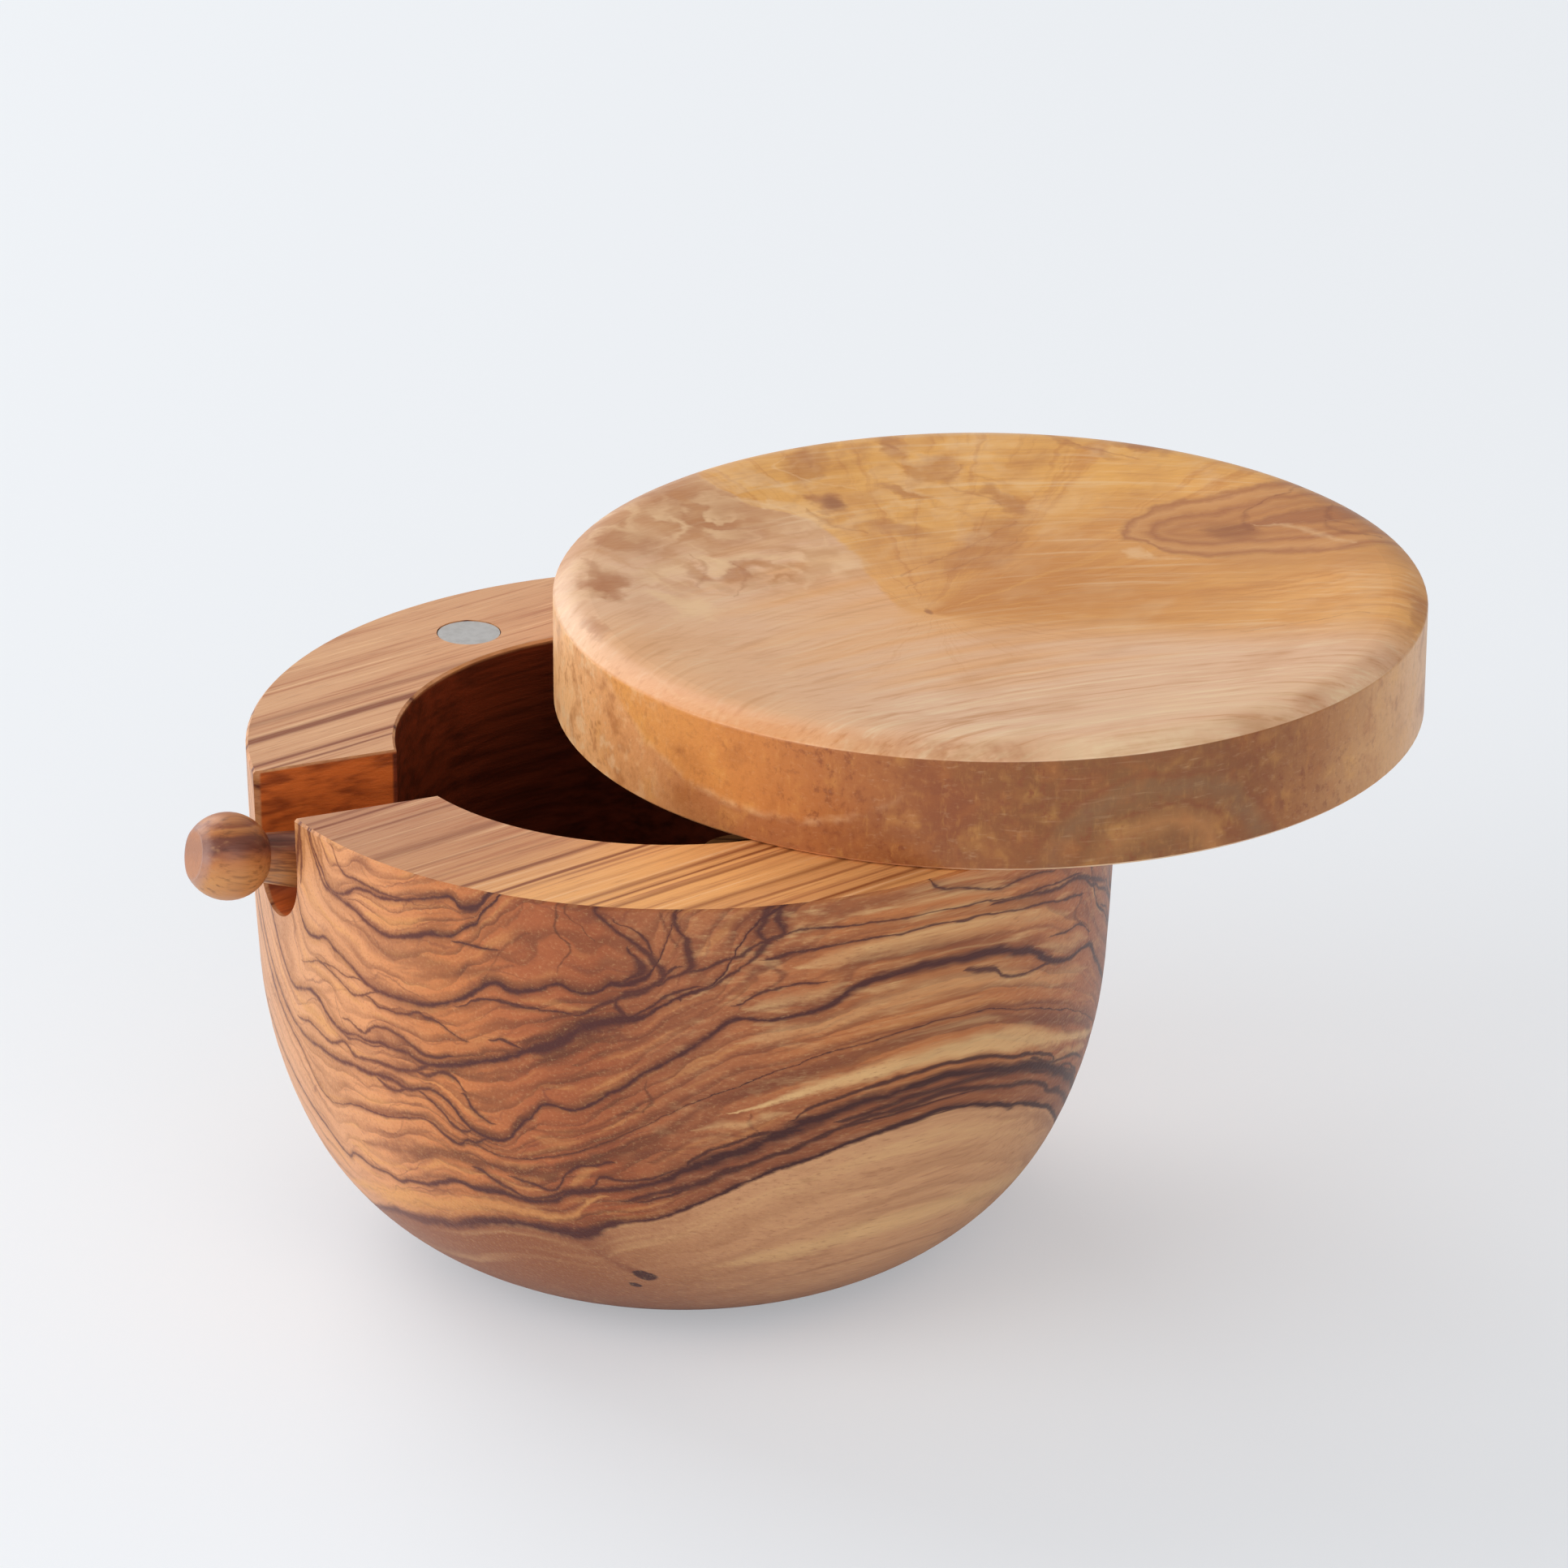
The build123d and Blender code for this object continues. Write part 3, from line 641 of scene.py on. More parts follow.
# Dark streaks of the rim: (across, half width, strength).
STREAKS = [(-34, 1.2, .35), (-29.8, 1.1, .85), (-23.3, .5, .8), (-21.4, .4, .6), (-4.6, .35, .8),
           (-3.1, .3, .7), (1, .35, .65), (4.2, .25, .3), (8.5, 1.4, .4), (13.5, .3, .35),
           (17, .3, .3), (21.2, .45, .9), (24.9, .35, .8), (26, .3, .5), (29.5, .3, .25),
           (33.2, .8, .6), (35, .3, .8), (37, .45, .9), (39.6, .3, .35), (42.8, .9, .55),
           (45.5, .3, .4), (48, .3, .4), (50.4, .5, .7), (52.2, .3, .5)]
# Ground colours across the log, from the left of the bowl to the right.
BOWL_GROUND = [(0, "dca678"), (.32, "dea071"), (.46, "e29f6d"), (.55, "e19862"), (.66, "cb7a42"),
               (.75, "ac5d32"), (.82, "9e532c"), (.875, "a8623a"), (.93, "b66c3e"),
               (1, "cc7e42")]


# ---- Wood of the bowl --------------------------------------------------------------------

# Places of the bowl that its finish follows.
BOWL_REACH = 53.1
HOLLOW_Y, HOLLOW_REACH = -1.5, 34.7
NOTCH_HALF, NOTCH_BACK, NOTCH_FLOOR = 8.2, -32.5, 15.75
# How far the figure is drawn out of the log past its first and its last ring.
PITH_REACH, SAP_REACH = 8.0, 20.0
CLOSEST_RINGS = 0.007  # as a share of the depth of the sheet
LOG_SADDLE = 12.0      # how softly the lines turn down over the middle of the bowl
# Finish of the oiled wood, and of the spoon, which hands have polished.
OILED = dict(Specular_IOR_Level=0.35, Coat_Weight=0.08, Coat_Roughness=0.22)
HANDLED = dict(Specular_IOR_Level=0.4, Coat_Weight=0.1, Coat_Roughness=0.25)


def rim_wood(wood, across, along, front, wide, fine):
    """Planed rim of the bowl. It is cut along the log, so its figure is straight streaks."""
    c = colours()
    straight = wood.noise(wood.vector(across, 0.0, along * 0.02), 1.1, 3.0, 0.65)
    broad = wood.noise(wood.vector(across, 0.0, along * 0.1), 9.0, 2.0)
    profile = [(ACROSS[0], 0, 0)]
    for middle, reach, strength in STREAKS:
        profile += [(middle - reach, 0, 0), (middle, 0, strength * WIDEST), (middle + reach, 0, 0)]
    sway = Sheet(wood, across + 0.5 * wide[0] + 0.25 * fine[0], ACROSS, 0.0, DEPTH)
    streak = sway.half(profile + [(ACROSS[1], 0, 0)])
    return wood.layers(
        wood.mix(across.fade(-6, 34), c.rim, c.rim_gold),
        (between(across, -10, 23, 10) * front * 0.42, c.rim_rose),
        (broad.fade(-0.1, 0.5) * 0.45, c.rim_brown),
        (straight.fade(0.0, 0.4) * 0.8, c.rim_brown),
        (straight.fade(-0.05, -0.45) * 0.6, c.rim_pale),
        ((streak * (1.8 + 0.8 * wide[2])).held() * 0.9, c.rim_dark),
    )


def bowl_wood():
    """Olive wood: dark lines that follow the rings of the log, which runs through the bowl."""
    wood, c = Finish("oiled_olive_bowl"), colours()
    place = wood.place()
    x, y, z = wood.axes(place)
    turn, tilt = sizes().log_turn, math.tan(sizes().log_tilt)
    grain = (math.cos(turn), math.sin(turn), 0)
    across = wood.dot(place, (math.sin(turn), -math.cos(turn), 0))
    along = wood.dot(place, grain)
    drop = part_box("bowl")[1].z * MM - z
    depth = drop - (along + (along * along + LOG_SADDLE).root()) * tilt
    normal = wood.normal()
    side = abs(wood.dot(normal, grain)).fade(0.85, 0.3)
    right, front = across.fade(36, 44), along.fade(0, -10)
    top = wood.dot(normal, (0, 0, 1)).fade(0.8, 0.95) * drop.fade(1.0, 0.3)

    # Small waves of the lines, and fibres, which show as pores on the ends of the log.
    stretched = wood.vector(across, depth, along * 0.12)
    wide = wide_a, wide_d, wide_m = wood.noises(stretched, 7.0, 1.0)
    fine = fine_a, fine_d, fine_m = wood.noises(stretched, 1.3, 2.0, 0.6)
    fibre = wood.noise(wood.vector(across, drop, along * 0.06), 0.36, 2.0, 0.7)
    ripple, scribble = sizes().ripple * MM, sizes().scribble * MM
    bend = wood.noise(wood.vector(along, drop * 0.4, across * 0.2), 7.0, 2.0) * 0.8
    at = across + wide_a * ripple + fine_a * scribble
    deep = depth + side * bend + wide_d * ripple + fine_d * scribble + fibre * (0.12 + 0.1 * side)
    sheet = Sheet(wood, at, ACROSS, deep, DEPTH)
    upright = Sheet(wood, deep, DEPTH, at, ACROSS)
    flank = Sheet(wood, along, ALONG, drop + wide_d * ripple + fibre * 0.3, DEPTH)
    firm = 1.3 + 0.25 * across.fade(0, 30) + 0.8 * fine_m + 0.5 * wide_m
    soft = 1.25 + 0.7 * wide_m + 0.5 * fine_m

    # The rings, each with its brown shade, then the shorter lines and the soft bands.
    runs, distances, shades = [], [], []
    for thickness, points in RINGS:
        run = sheet.run(points)
        gap = (sheet.height - run) * sheet.reach
        runs.append(run)
        distances.append(sheet.distance(run, sheet.half(points)))
        shades.append((gap / thickness + 1).held() - (gap * 2.5).held())
    near, shade = reduce(Value.at_most, distances), reduce(Value.at_least, shades)
    thin = sheet.nearest(STRANDS).at_most(upright.nearest(UPRIGHTS) + (1 - front) * HIDDEN)
    thin = thin.at_most(flank.nearest(SIDE_LINES) + (1 - right) * HIDDEN)
    dark = ((firm - near) * 0.85).held().at_least(((firm + 0.2 - thin) * 0.8).held() * 0.88)
    halo = (1.35 - near.at_most(thin) * 0.3).held()
    pales = sheet.draw_grouped(PALES, soft).at_least(flank.draw_grouped(POCKETS, soft) * right)

    # How far out of the log a place is: 1 at the first ring, 8 at the last, more outside it.
    below = (sheet.height - runs[-1]) * sheet.reach
    rings = ((sheet.height - runs[0]) * (sheet.reach / PITH_REACH) + 1).held()
    rings = rings + (below / SAP_REACH).held()
    for inner, outer in zip(runs, runs[1:]):
        width = (outer - inner).at_least(CLOSEST_RINGS)
        rings = rings + ((sheet.height - inner) / width).held()
    heart = below.fade(0.5, -0.5)

    # Faint growth between the drawn rings: soft layers, sharp terraces and thin folded threads.
    layer = wood.noise(wood.vector(rings * 2.6, across * 0.05, along * 0.012), 0.5, 2.0, 0.6)
    cloud = wood.noise(wood.vector(across, depth, along * 0.15), 9.0, 2.0)
    terrace = (rings * 3.0 + wide_m * 0.5 + cloud * 0.9).fraction()
    edges = terrace.fade(0.5, 0.93) * terrace.fade(1.0, 0.93)
    fold = (rings * 2.0 + cloud * 1.5 + wide_m * 0.7 + fine_m * 0.15).fraction()
    thread = ridge(fold, 0.5, 0.07) * (0.45 + 1.1 * wide_a).held()
    streaks = wood.noise(wood.vector(across * 0.6, depth, along * 0.03), 1.5, 3.0, 0.65)

    # Ground colour: orange brown where the end of the log shows, and tan along its side.
    tone = wood.layers(c.soft_line, (across.fade(10, -6) * 0.5, c.tawny),
                       (across.fade(2, 22) * (1 - 0.55 * right), c.deep_brown))
    tawny = wood.mix(across.fade(-4, 22), c.yellow, c.tawny)
    ground = wood.layers(
        wood.ramp(share(across + wide_a * 2, ACROSS), BOWL_GROUND),
        (layer.fade(0.0, 0.45) * 0.45, tone),
        (layer.fade(-0.05, -0.45) * 0.45, tawny),
        (cloud.fade(0.0, 0.6) * 0.25, tone),
        (edges * (0.6 + 0.8 * cloud).held() * 0.8, tone),
        (thread * (1 - 0.5 * side) * 0.75, c.brown_line),
        (sheet.draw_grouped(BANDS, soft), tone),
        (upright.draw(UPRIGHT_BANDS, soft) * 0.75, tone),
        (shade * 0.5, tone),
        (halo * (0.5 + 0.5 * cloud), tone),
        # Along the side the fibres run with the surface, as pale and brown streaks.
        (streaks.fade(0.05, 0.6) * side * 0.4, tone),
        (streaks.fade(0.0, -0.5) * (side * (0.35 + 0.2 * depth.fade(22, 4))), c.pale),
        (pales * (0.85 + 0.3 * fine_m), wood.mix(right, tawny, c.pale)),
    )

    # Sapwood: pale and plain, with a few faint rings.
    outer = wood.noise(wood.vector(below, across * 0.06, along * 0.02), 2.6, 2.0)
    sap = wood.layers(
        wood.mix(abs(across).fade(24, 50), c.sap, c.sap_pale),
        (outer.fade(0.0, 0.4) * 0.5, c.sap_brown),
        (outer.fade(-0.05, -0.4) * 0.35, c.pale),
        (streaks.fade(0.05, 0.5) * 0.4, c.sap_brown),
        (streaks.fade(-0.1, -0.6) * side * 0.4, c.pale),
        (edges * 0.25, c.sap_brown),
        (flank.draw([SAP_BAND], soft) * right * 0.5, c.pale),
        (flank.draw([SAP_LINE], soft) * right * 0.6, c.sap_brown),
    )

    # Over both come the reddish dark band of the side, between the last two rings, and a
    # small twig, which is two pin knots and the brown streak that leads to them.
    band = right * (rings.fade(6.95, 7.05) * heart)
    knots = patch(at, deep, (33.0, 52.3), (1.05, 1.1), 0, 0.5).at_least(
        patch(at, deep, (31.0, 54.4), (0.55, 0.55), 0, 0.45))
    ground = wood.layers(
        wood.mix(heart, sap, ground),
        (band * (0.55 + 0.3 * wide_m), c.band),
        (band * (streaks.fade(0.1, -0.4) * 0.5), c.band_pale),
        (upright.draw([TWIG], soft) * front * 0.6, c.brown_line),
        (knots * front, c.heavy),
    )

    # The dark lines, the rim, and fibres along the log, which are pores where its end shows.
    ink = wood.layers(c.line, (right * depth.fade(18, 24), c.heavy),
                      (across.fade(24, 4) * 0.6, c.brown_line))
    clear = 1 - dark * 0.85
    ground = wood.layers(
        ground,
        (dark, ink),
        (top, rim_wood(wood, across, along, front, wide, fine)),
        (fibre.fade(0.05, 0.6) * clear * 0.42, c.soft_line),
        (fibre.fade(0.0, -0.7) * clear * 0.26, c.pale),
    )

    # Walls of the notch are a deeper orange, with darker streaks. The walls and bottom of the
    # hollow are darker with painted shade, since little light gets into it.
    from_hollow = (x * x + (y - HOLLOW_Y) * (y - HOLLOW_Y)).root()
    # Mask of the painted shade inside the hollow.
    shaded_hollow = short_of(from_hollow, HOLLOW_REACH, 0.4) * drop.fade(0.2, 0.8)
    notch = short_of(abs(x), NOTCH_HALF, 0.4) * short_of(y, NOTCH_BACK, 1.0)
    notch = notch * short_of((x * x + y * y).root(), BOWL_REACH, 0.4)
    notch = notch * short_of(drop, NOTCH_FLOOR, 0.3) * drop.fade(0.2, 0.5)
    lines = wood.noise(wood.vector(across, drop, along * 0.05), 1.4, 2.0, 0.6)
    ground = wood.layers(
        ground,
        (notch, wood.mix(lines.fade(-0.3, 0.5), c.notch, c.notch_dark)),
        (shaded_hollow, wood.mix(lines.fade(-0.4, 0.5), c.shaded_hollow, c.shaded_hollow_dark)),
    )
    return wood.done(wood.principled(
        Base_Color=ground, Roughness=0.42 + fibre * 0.07, Normal=wood.bump(fibre, 0.00004),
        **OILED))


# ---- Figure of the lid -------------------------------------------------------------------

# Where the peach-coloured front of the lid begins: (x, y) from the lid's middle. Its pale peach is
# partly the wood's own tone and partly a painted sheen.
PEACH = [(-56, -14), (-48, -20), (-38, -17.5), (-30, -11), (-20, -10.3), (-10, -10.8), (0, -11.3),
         (4, -10.5), (9, -4), (15, 6), (21, 17), (29, 30), (40, 43), (56, 56)]
# Soft patches of the lid's top: middle, reach, turn, colour, strength.
PATCHES = [
    ((-16, 6), (13, 5), 130, "lid_brown", .45), ((-28, 14), (6, 2.5), 15, "lid_brown", .6),
    ((-40, 10), (5, 3), 150, "lid_brown", .55), ((-35, 4), (5, 1.5), 35, "lid_brown", .6),
    ((-48, 7), (6, 2.5), 10, "lid_brown", .6), ((-36, 38), (7, 3), 20, "lid_brown", .8),
    ((-38, 30), (8, 1.6), 30, "lid_brown", .45), ((-47, -5), (7, 4), 160, "lid_brown", .55),
    ((-35, -7), (3, 3.5), 70, "lid_brown", .75), ((-38, -24), (13, 8), 20, "lid_brown", .5),
    ((-30, -38), (5, 7), 60, "lid_brown", .5), ((-17, -25), (6, 3.5), 150, "lid_brown", .55),
    ((-17, -31), (5, 2.5), 20, "lid_brown", .5), ((-18, -45), (7, 3.5), 170, "lid_brown", .75),
    ((-4, -52), (5, 2), 0, "lid_brown", .5), ((-25, -2), (5, 2.5), 40, "lid_brown", .45),
    ((-18, -14), (7, 5), 20, "lid_light", .6), ((-10, -38), (6, 3), 30, "lid_light", .7),
    ((-20, -36), (7, 3), 120, "lid_light", .45), ((-44, -13), (10, 1.6), 40, "lid_light", .35),
    ((-38, -16), (8, 1.3), 50, "lid_light", .4), ((-4, 24), (3.5, 2.5), 70, "lid_light", .5),
    ((-32, -12), (9, 1.5), 35, "lid_light", .35), ((30, 44), (8, 2), -40, "lid_brown", .5),
]
# Outline of the eye at the back of the lid, as (y, x), and its colours from the edge in.
EYE_LEFT = [(22, -11), (23.6, -12.4), (24.5, -14.4), (27.3, -17.2), (32.4, -18.7), (39.1, -17.8),
            (45.9, -17.2), (51.5, -17.4), (56, -18)]
EYE_RIGHT = [(22, -11), (23.6, -10.4), (25.4, -7.9), (26.6, -4.3), (30.2, -.9), (34.7, 1.9),
             (40.3, 4.7), (44.8, 6.9), (49.3, 8.6), (53.2, 8), (56, 8)]
EYE_RINGS = [(0, "cf9150"), (.1, "b27040"), (.2, "d3955a"), (.3, "cc8c50"), (.4, "ad6a3c"),
             (.5, "c5854c"), (.6, "b87642"), (.7, "c58449"), (.8, "a5643a"), (1, "b06c3c")]
# Lines of the lid: points (x, y, half width) from its middle.
LID_DARK = [
    [(-17.4, 51.7, .85), (-14.4, 49.3, 1.02), (-12.7, 45.9, .94), (-11.6, 42.5, .85),
     (-10.8, 40.3, .77), (-8.8, 39.1, .85), (-6.6, 38.4, 1.19), (-5.2, 38.6, .51)],
    [(-2, 48.1, .51), (-.4, 47.5, .85), (1.3, 47.6, 1.02), (3, 48.6, 1.02), (4.3, 50, .85),
     (5, 51.6, .51)],
    [(-7.6, 50.6, .34), (-5, 49.4, .85), (-2.4, 49, .68), (0, 50.2, .51)],
]
LID_BROWN = [
    [(-22.3, 13.3, .3), (-19.4, 9.5, .7), (-16.4, 3.8, .9), (-13.5, -2, .9), (-11, -6.9, .4)],
    [(-17, 11.4, .2), (-13.6, 5, .6), (-10, -1.5, .6), (-6.5, -8.6, .3)],
    [(23.6, 23.4, .5), (24.6, 28, .9), (26, 33.5, .8), (27.4, 38.5, .4)],
    [(21.6, 22, .2), (22.2, 27.5, .4), (23.2, 32, .4), (24, 37, .2)],
    [(-44, 28, .3), (-40, 29.6, .5), (-36, 31.5, .5), (-31.5, 34.6, .3)],
    [(-39.6, 13.2, .3), (-37.2, 10.8, 1.3), (-34.6, 9.6, .8), (-31.6, 11.6, .6),
     (-27.5, 13.6, .5)],
    [(-55, 9, .5), (-52, 7.6, 1.1), (-48.8, 6.6, .9), (-46.5, 7.8, .4)],
    [(-55, -3, .8), (-51.5, -4, 1.5), (-48, -4.9, 1.2), (-45, -5.4, .4)],
    [(-34, -10.6, .4), (-31, -9.9, 1.1), (-28, -8.4, .8), (-25, -5.6, .3)],
    [(-25.5, -44.5, .3), (-22.5, -43.9, 1.4), (-18.5, -44.6, 1.7), (-14.6, -45.6, 1.2),
     (-12.6, -46.6, .3)],
    [(-24, -30.6, .2), (-20, -30.4, .8), (-17, -31.8, 1.1), (-14.6, -33.4, .4)],
    [(-21, -26, .2), (-18, -25.4, .6), (-14, -27.6, .7), (-10.8, -30, .3)],
]
LID_PALE = [
    [(-6.6, 39.4, .2), (-5.6, 41, .7), (-4.3, 42.7, .9), (-.9, 44.8, 1), (2, 45.5, .9),
     (3.8, 46, .9), (5.8, 47.4, .6)],
    [(-6, 24.6, .3), (-4.8, 24.4, 1.3), (-3.2, 25.2, 1.7), (-1.8, 27.2, 1), (-.8, 29, .3)],
    [(-49, -7, .2), (-46, -10, .4), (-44, -8.6, .5), (-41, -6, .5), (-38, -1.6, .3)],
    [(-39.5, -18.2, .3), (-37, -15.6, .5), (-34, -12.8, .4), (-31, -10.8, .2)],
    [(-26, -11.4, .3), (-23.6, -12.4, .8), (-23, -17, .6), (-21, -20.8, .5), (-17, -19, .8),
     (-14.4, -18.2, 1.1), (-11, -20, .5)],
    [(-27, -29, .3), (-24.6, -28.2, .9), (-21.4, -33.4, .6), (-18.8, -36, .9),
     (-15.4, -34.4, .5)],
    [(-21, -38, .3), (-15, -37, 1.2), (-11, -34.6, 1.5), (-7, -37.4, 1.6), (-4.4, -40.4, .6)],
    [(12, -50.6, .3), (18, -49.3, .6), (26, -46.2, .6), (33, -41.4, .3)],
]
# The pale arc that hangs on the lid's side: (direction in degrees, millimetres down).
HANGING = [(-180, 0), (-92, -3), (-84, 0), (-78, 3.6), (-70, 7.2), (-62, 9.4), (-53, 10.2),
           (-45, 9.4), (-40, 7.8), (-34, 4.5), (-30, 1), (-27, -3), (180, -3)]
# Colours round the lid's side, from -180 to 180 degrees.
LID_SIDE = [(0, "cf9560"), (.18, "f2b880"), (.235, "fac084"), (.275, "e8a468"), (.33, "bb7644"),
            (.375, "a46136"), (.42, "92562d"), (.455, "88522a"), (.485, "8c5c33"),
            (.505, "8c5a33"), (.53, "8c542c"), (.56, "a86c3c"), (.6, "d8a068"), (.64, "eab480"),
            (.8, "d09a68"), (1, "cf9560")]


# ---- Wood of the lid ---------------------------------------------------------------------

LID_DROP = 14.1   # from the top of the lid's side to its foot
LID_SCALE = 0.95  # millimetres round the side in a degree
TINY_KNOT = (2.0, -9.0)
# Limits of what is drawn on the side, in degrees round it and in millimetres down it.
AROUND, DOWN = (-180.0, 180.0), (-5.0, 15.0)


def lid_side(wood, turned, height, wave, rag):
    """Side of the lid: a pale hanging arc, a brown stretch with arches, and paler ends."""
    c = colours()
    (wave_x, _, wave_m), (rag_x, rag_y, rag_m) = wave, rag
    round_, fall = turned * LID_SCALE, LID_DROP - height
    hang = Sheet(wood, turned, AROUND, 0.0, DOWN).path(HANGING)
    sag = fall - hang + rag_y * 0.25
    inside = (0.5 - sag * 1.2).held()
    slant = patch(turned + rag_x * 2.5 + wave_x * 4, fall, (-30, 5.5), (4.5, 8.5), -28)
    blot = wood.noise(wood.vector(round_ + wave_x * 4, fall * 0.9, 0.0), 6.0, 3.0, 0.6)
    fine = wood.noise(wood.vector(round_, fall * 0.25, 0.0), 0.9, 3.0, 0.7)
    grit = wood.noise(wood.vector(round_, fall * 0.8, 0.0), 1.3, 3.0, 0.7)
    arc = ridge(sag, 0.0, 0.8) * between(turned, -88, -40, 16)
    mottle, rough = between(turned, -112, -76, 16), between(turned, -58, 30, 24)

    # Arches, one above the other, that stand on the foot of the side.
    ax, ay = (turned + 2.0) * LID_SCALE + rag_x + wave_x * 3, height + 1.5 + rag_y * 0.7
    arch = (ax * ax * 0.62 + ay * ay).root() + wave_x * 1.6
    arches = between(turned, -19, 16, 8) * (0.75 + 1.2 * wave_m).held()
    ragged = (0.45 + 1.2 * rag_m).held()
    return wood.layers(
        wood.ramp((turned + wave_x * 6) / 360.0 + 0.5, LID_SIDE),
        (inside * turned.fade(-28, -66) * 0.55, c.lid_orange),
        (inside * turned.fade(-40, -78) * 0.35, c.lid_yellow),
        (slant * 0.8, c.lid_dark),
        (blot.fade(0.0, 0.45) * 0.6, c.lid_brown),
        (blot.fade(-0.05, -0.5) * 0.38, c.lid_yellow),
        (fine.fade(0.05, 0.6) * 0.3, c.lid_brown),
        (fine.fade(-0.05, -0.6) * 0.22, c.lid_yellow),
        (arc * (0.2 + 0.6 * rag_m).held(), c.lid_light),
        (rag_m.fade(0.05, 0.35) * mottle * 0.6, c.lid_light),
        (rag_m.fade(-0.1, -0.4) * mottle * 0.55, c.lid_brown),
        (wave_m.fade(0.0, 0.5) * 0.3, c.lid_brown),
        (grit.fade(0.0, 0.4) * (0.2 + rough * (0.35 + wave_x).held()), c.lid_dark),
        (grit.fade(-0.05, -0.5) * 0.3, c.lid_tan),
        (ridge(arch, 11.0, 2.0) * arches * 0.55, c.lid_grey),
        (ridge(arch, 12.7, 0.7) * arches * 0.6, c.lid_dark),
        (ridge(arch, 8.6, 0.5) * between(turned, -9, 12, 4) * ragged * 0.9, c.lid_dark),
        (ridge(arch, 6.2, 2.4) * arches * 0.7, c.lid_tan),
        (ridge(arch, 15.2, 1.6) * arches * 0.5, c.lid_dark),
    )


def lid_wood():
    """Paler olive wood of the lid, with a brown eye, mottled feather and straight grain."""
    wood, c = Finish("oiled_olive_lid"), colours()
    low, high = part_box("lid")
    middle = (low + high) / 2
    x, y, z = wood.axes(wood.place())
    x, y, height = x - middle.x * MM, y - middle.y * MM, z - low.z * MM
    flank = abs(wood.dot(wood.normal(), (0, 0, 1))).fade(0.5, 0.3)
    body = wood.vector(x, y, height)
    wave = wave_x, wave_y, wave_m = wood.noises(body, 8.0, 2.0)
    rag = rag_x, rag_y, rag_m = wood.noises(body, 2.2, 2.0, 0.65)
    warp_x, warp_y, warp_m = wood.noises(body, 13.0, 2.0, 0.6)
    wx, wy = x + wave_x * 1.4 + rag_x * 0.7, y + wave_y * 1.4 + rag_y * 0.7
    radius = (x * x + y * y).root()
    turned = wood.add("ShaderNodeMath", {"operation": "ARCTAN2"}, {0: y, 1: x}) * (180 / math.pi)

    # Fine grain that spreads from a tiny knot near the middle.
    rx, ry = wx - TINY_KNOT[0], wy - TINY_KNOT[1]
    far = (rx * rx + ry * ry).root().at_least(0.5)
    rays = wood.noise(wood.vector(rx / far * 20, ry / far * 20, far * 0.03), 1.0, 3.0, 0.65)
    fan = between(rx / far, -0.8, 0.5, 0.7) * ry.fade(-1.5, 2.0) * far.fade(52, 14)

    # Straight grain of the front and the right-hand side, in shallow curves.
    bowed = x - 0.008 * ((y + 5) * (y + 5)) + wave_x * 0.6
    lines = wood.noise(wood.vector(bowed, y * 0.03, height), 1.2, 3.0, 0.7)
    broad = wood.noise(wood.vector(bowed, y * 0.05, height), 4.5, 2.0, 0.6)

    # Ground: golden back, deeper gold in a fan, and a peach-coloured front whose paleness is partly
    # a painted sheen.
    edge = Sheet(wood, x, ACROSS, 0.0, ALONG).path(PEACH)
    peach = ((edge - wy) / (x.fade(-3, 10) * 17 + 0.7) + 0.5).held()
    outer = (0.4 + broad + far.fade(8, 40) * 0.8).held()
    # The pale peach that grows towards the front edge is partly painted sheen.
    front = wood.layers(
        wood.mix(outer, c.lid_inner, c.lid_peach_sheen),
        (rays.fade(0.0, 0.45) * far.fade(34, 10) * 0.25, c.lid_gold),
        (y.fade(-20, -50) * x.fade(-15, 5) * 0.5, c.lid_inner),
    )
    left, at_right = wx.fade(-10, -28), bowed.fade(18, 34)
    lower = peach * wx.fade(-4, -18) * y.fade(-8, -13)
    ground = wood.layers(
        wood.mix(left, c.lid, c.lid_yellow),
        (wave_m.fade(-0.1, 0.6) * 0.5, c.lid_gold),
        (fan * 0.95, c.lid_gold),
        (rays.fade(0.0, 0.4) * 0.65, c.lid_gold),
        (rays.fade(0.0, -0.45) * 0.4, c.lid_yellow),
        (broad.fade(0.0, 0.5) * x.fade(2, 14) * 0.4, c.lid_gold),
        (peach, front),
        (lower * x.fade(-20, -34) * 0.7, c.lid_tan),
        (lines.fade(0.02, 0.4) * (0.38 + 0.3 * at_right), c.lid_tan),
        (lines.fade(-0.02, -0.4) * (0.32 + 0.45 * at_right), c.lid_cream),
        (broad.fade(0.05, -0.4) * bowed.fade(24, 36) * 0.5, c.lid_cream),
    )

    # Ragged patches of the left: some listed one by one, finer ones folded by noise.
    px, py = wx + warp_x * 5 + rag_x * 1.2, wy + warp_y * 5 + rag_y * 1.2
    folded = wood.noise(wood.vector(px, py, 0.0), 12.0, 1.5)
    flake = abs((folded * 2.1 + warp_m * 0.5).fraction() - 0.5) * 2
    chip = (left * y.fade(34, 12) * 0.7 + lower).held()
    smear = wood.noise(wood.vector(wx * 0.5 + y * 0.2, (wy - x * 0.35) * 0.3, 0.0), 3.2, 3.0, 0.6)
    mellow = wood.noise(wood.vector(x * 0.5, y * 0.35 + x * 0.15, height), 5.0, 3.0, 0.6)
    ground = wood.layers(
        ground,
        *[(patch(px, py, centre, reach, turn) * strength, getattr(c, tone))
          for centre, reach, turn, tone, strength in PATCHES],
        (chip * flake.fade(0.4, 1.0) * (0.35 + warp_x).held(), c.lid_tan),
        (chip * flake.fade(0.55, 0.0) * (0.35 + warp_y).held(), c.lid_light),
        (left * smear.fade(0.0, 0.5) * 0.4, c.lid_brown),
        (left * smear.fade(-0.05, -0.45) * 0.4, c.lid_light),
        (mellow.fade(0.0, 0.5) * 0.28, c.lid_tan),
        (mellow.fade(0.0, -0.5) * 0.25, c.lid_light),
    )

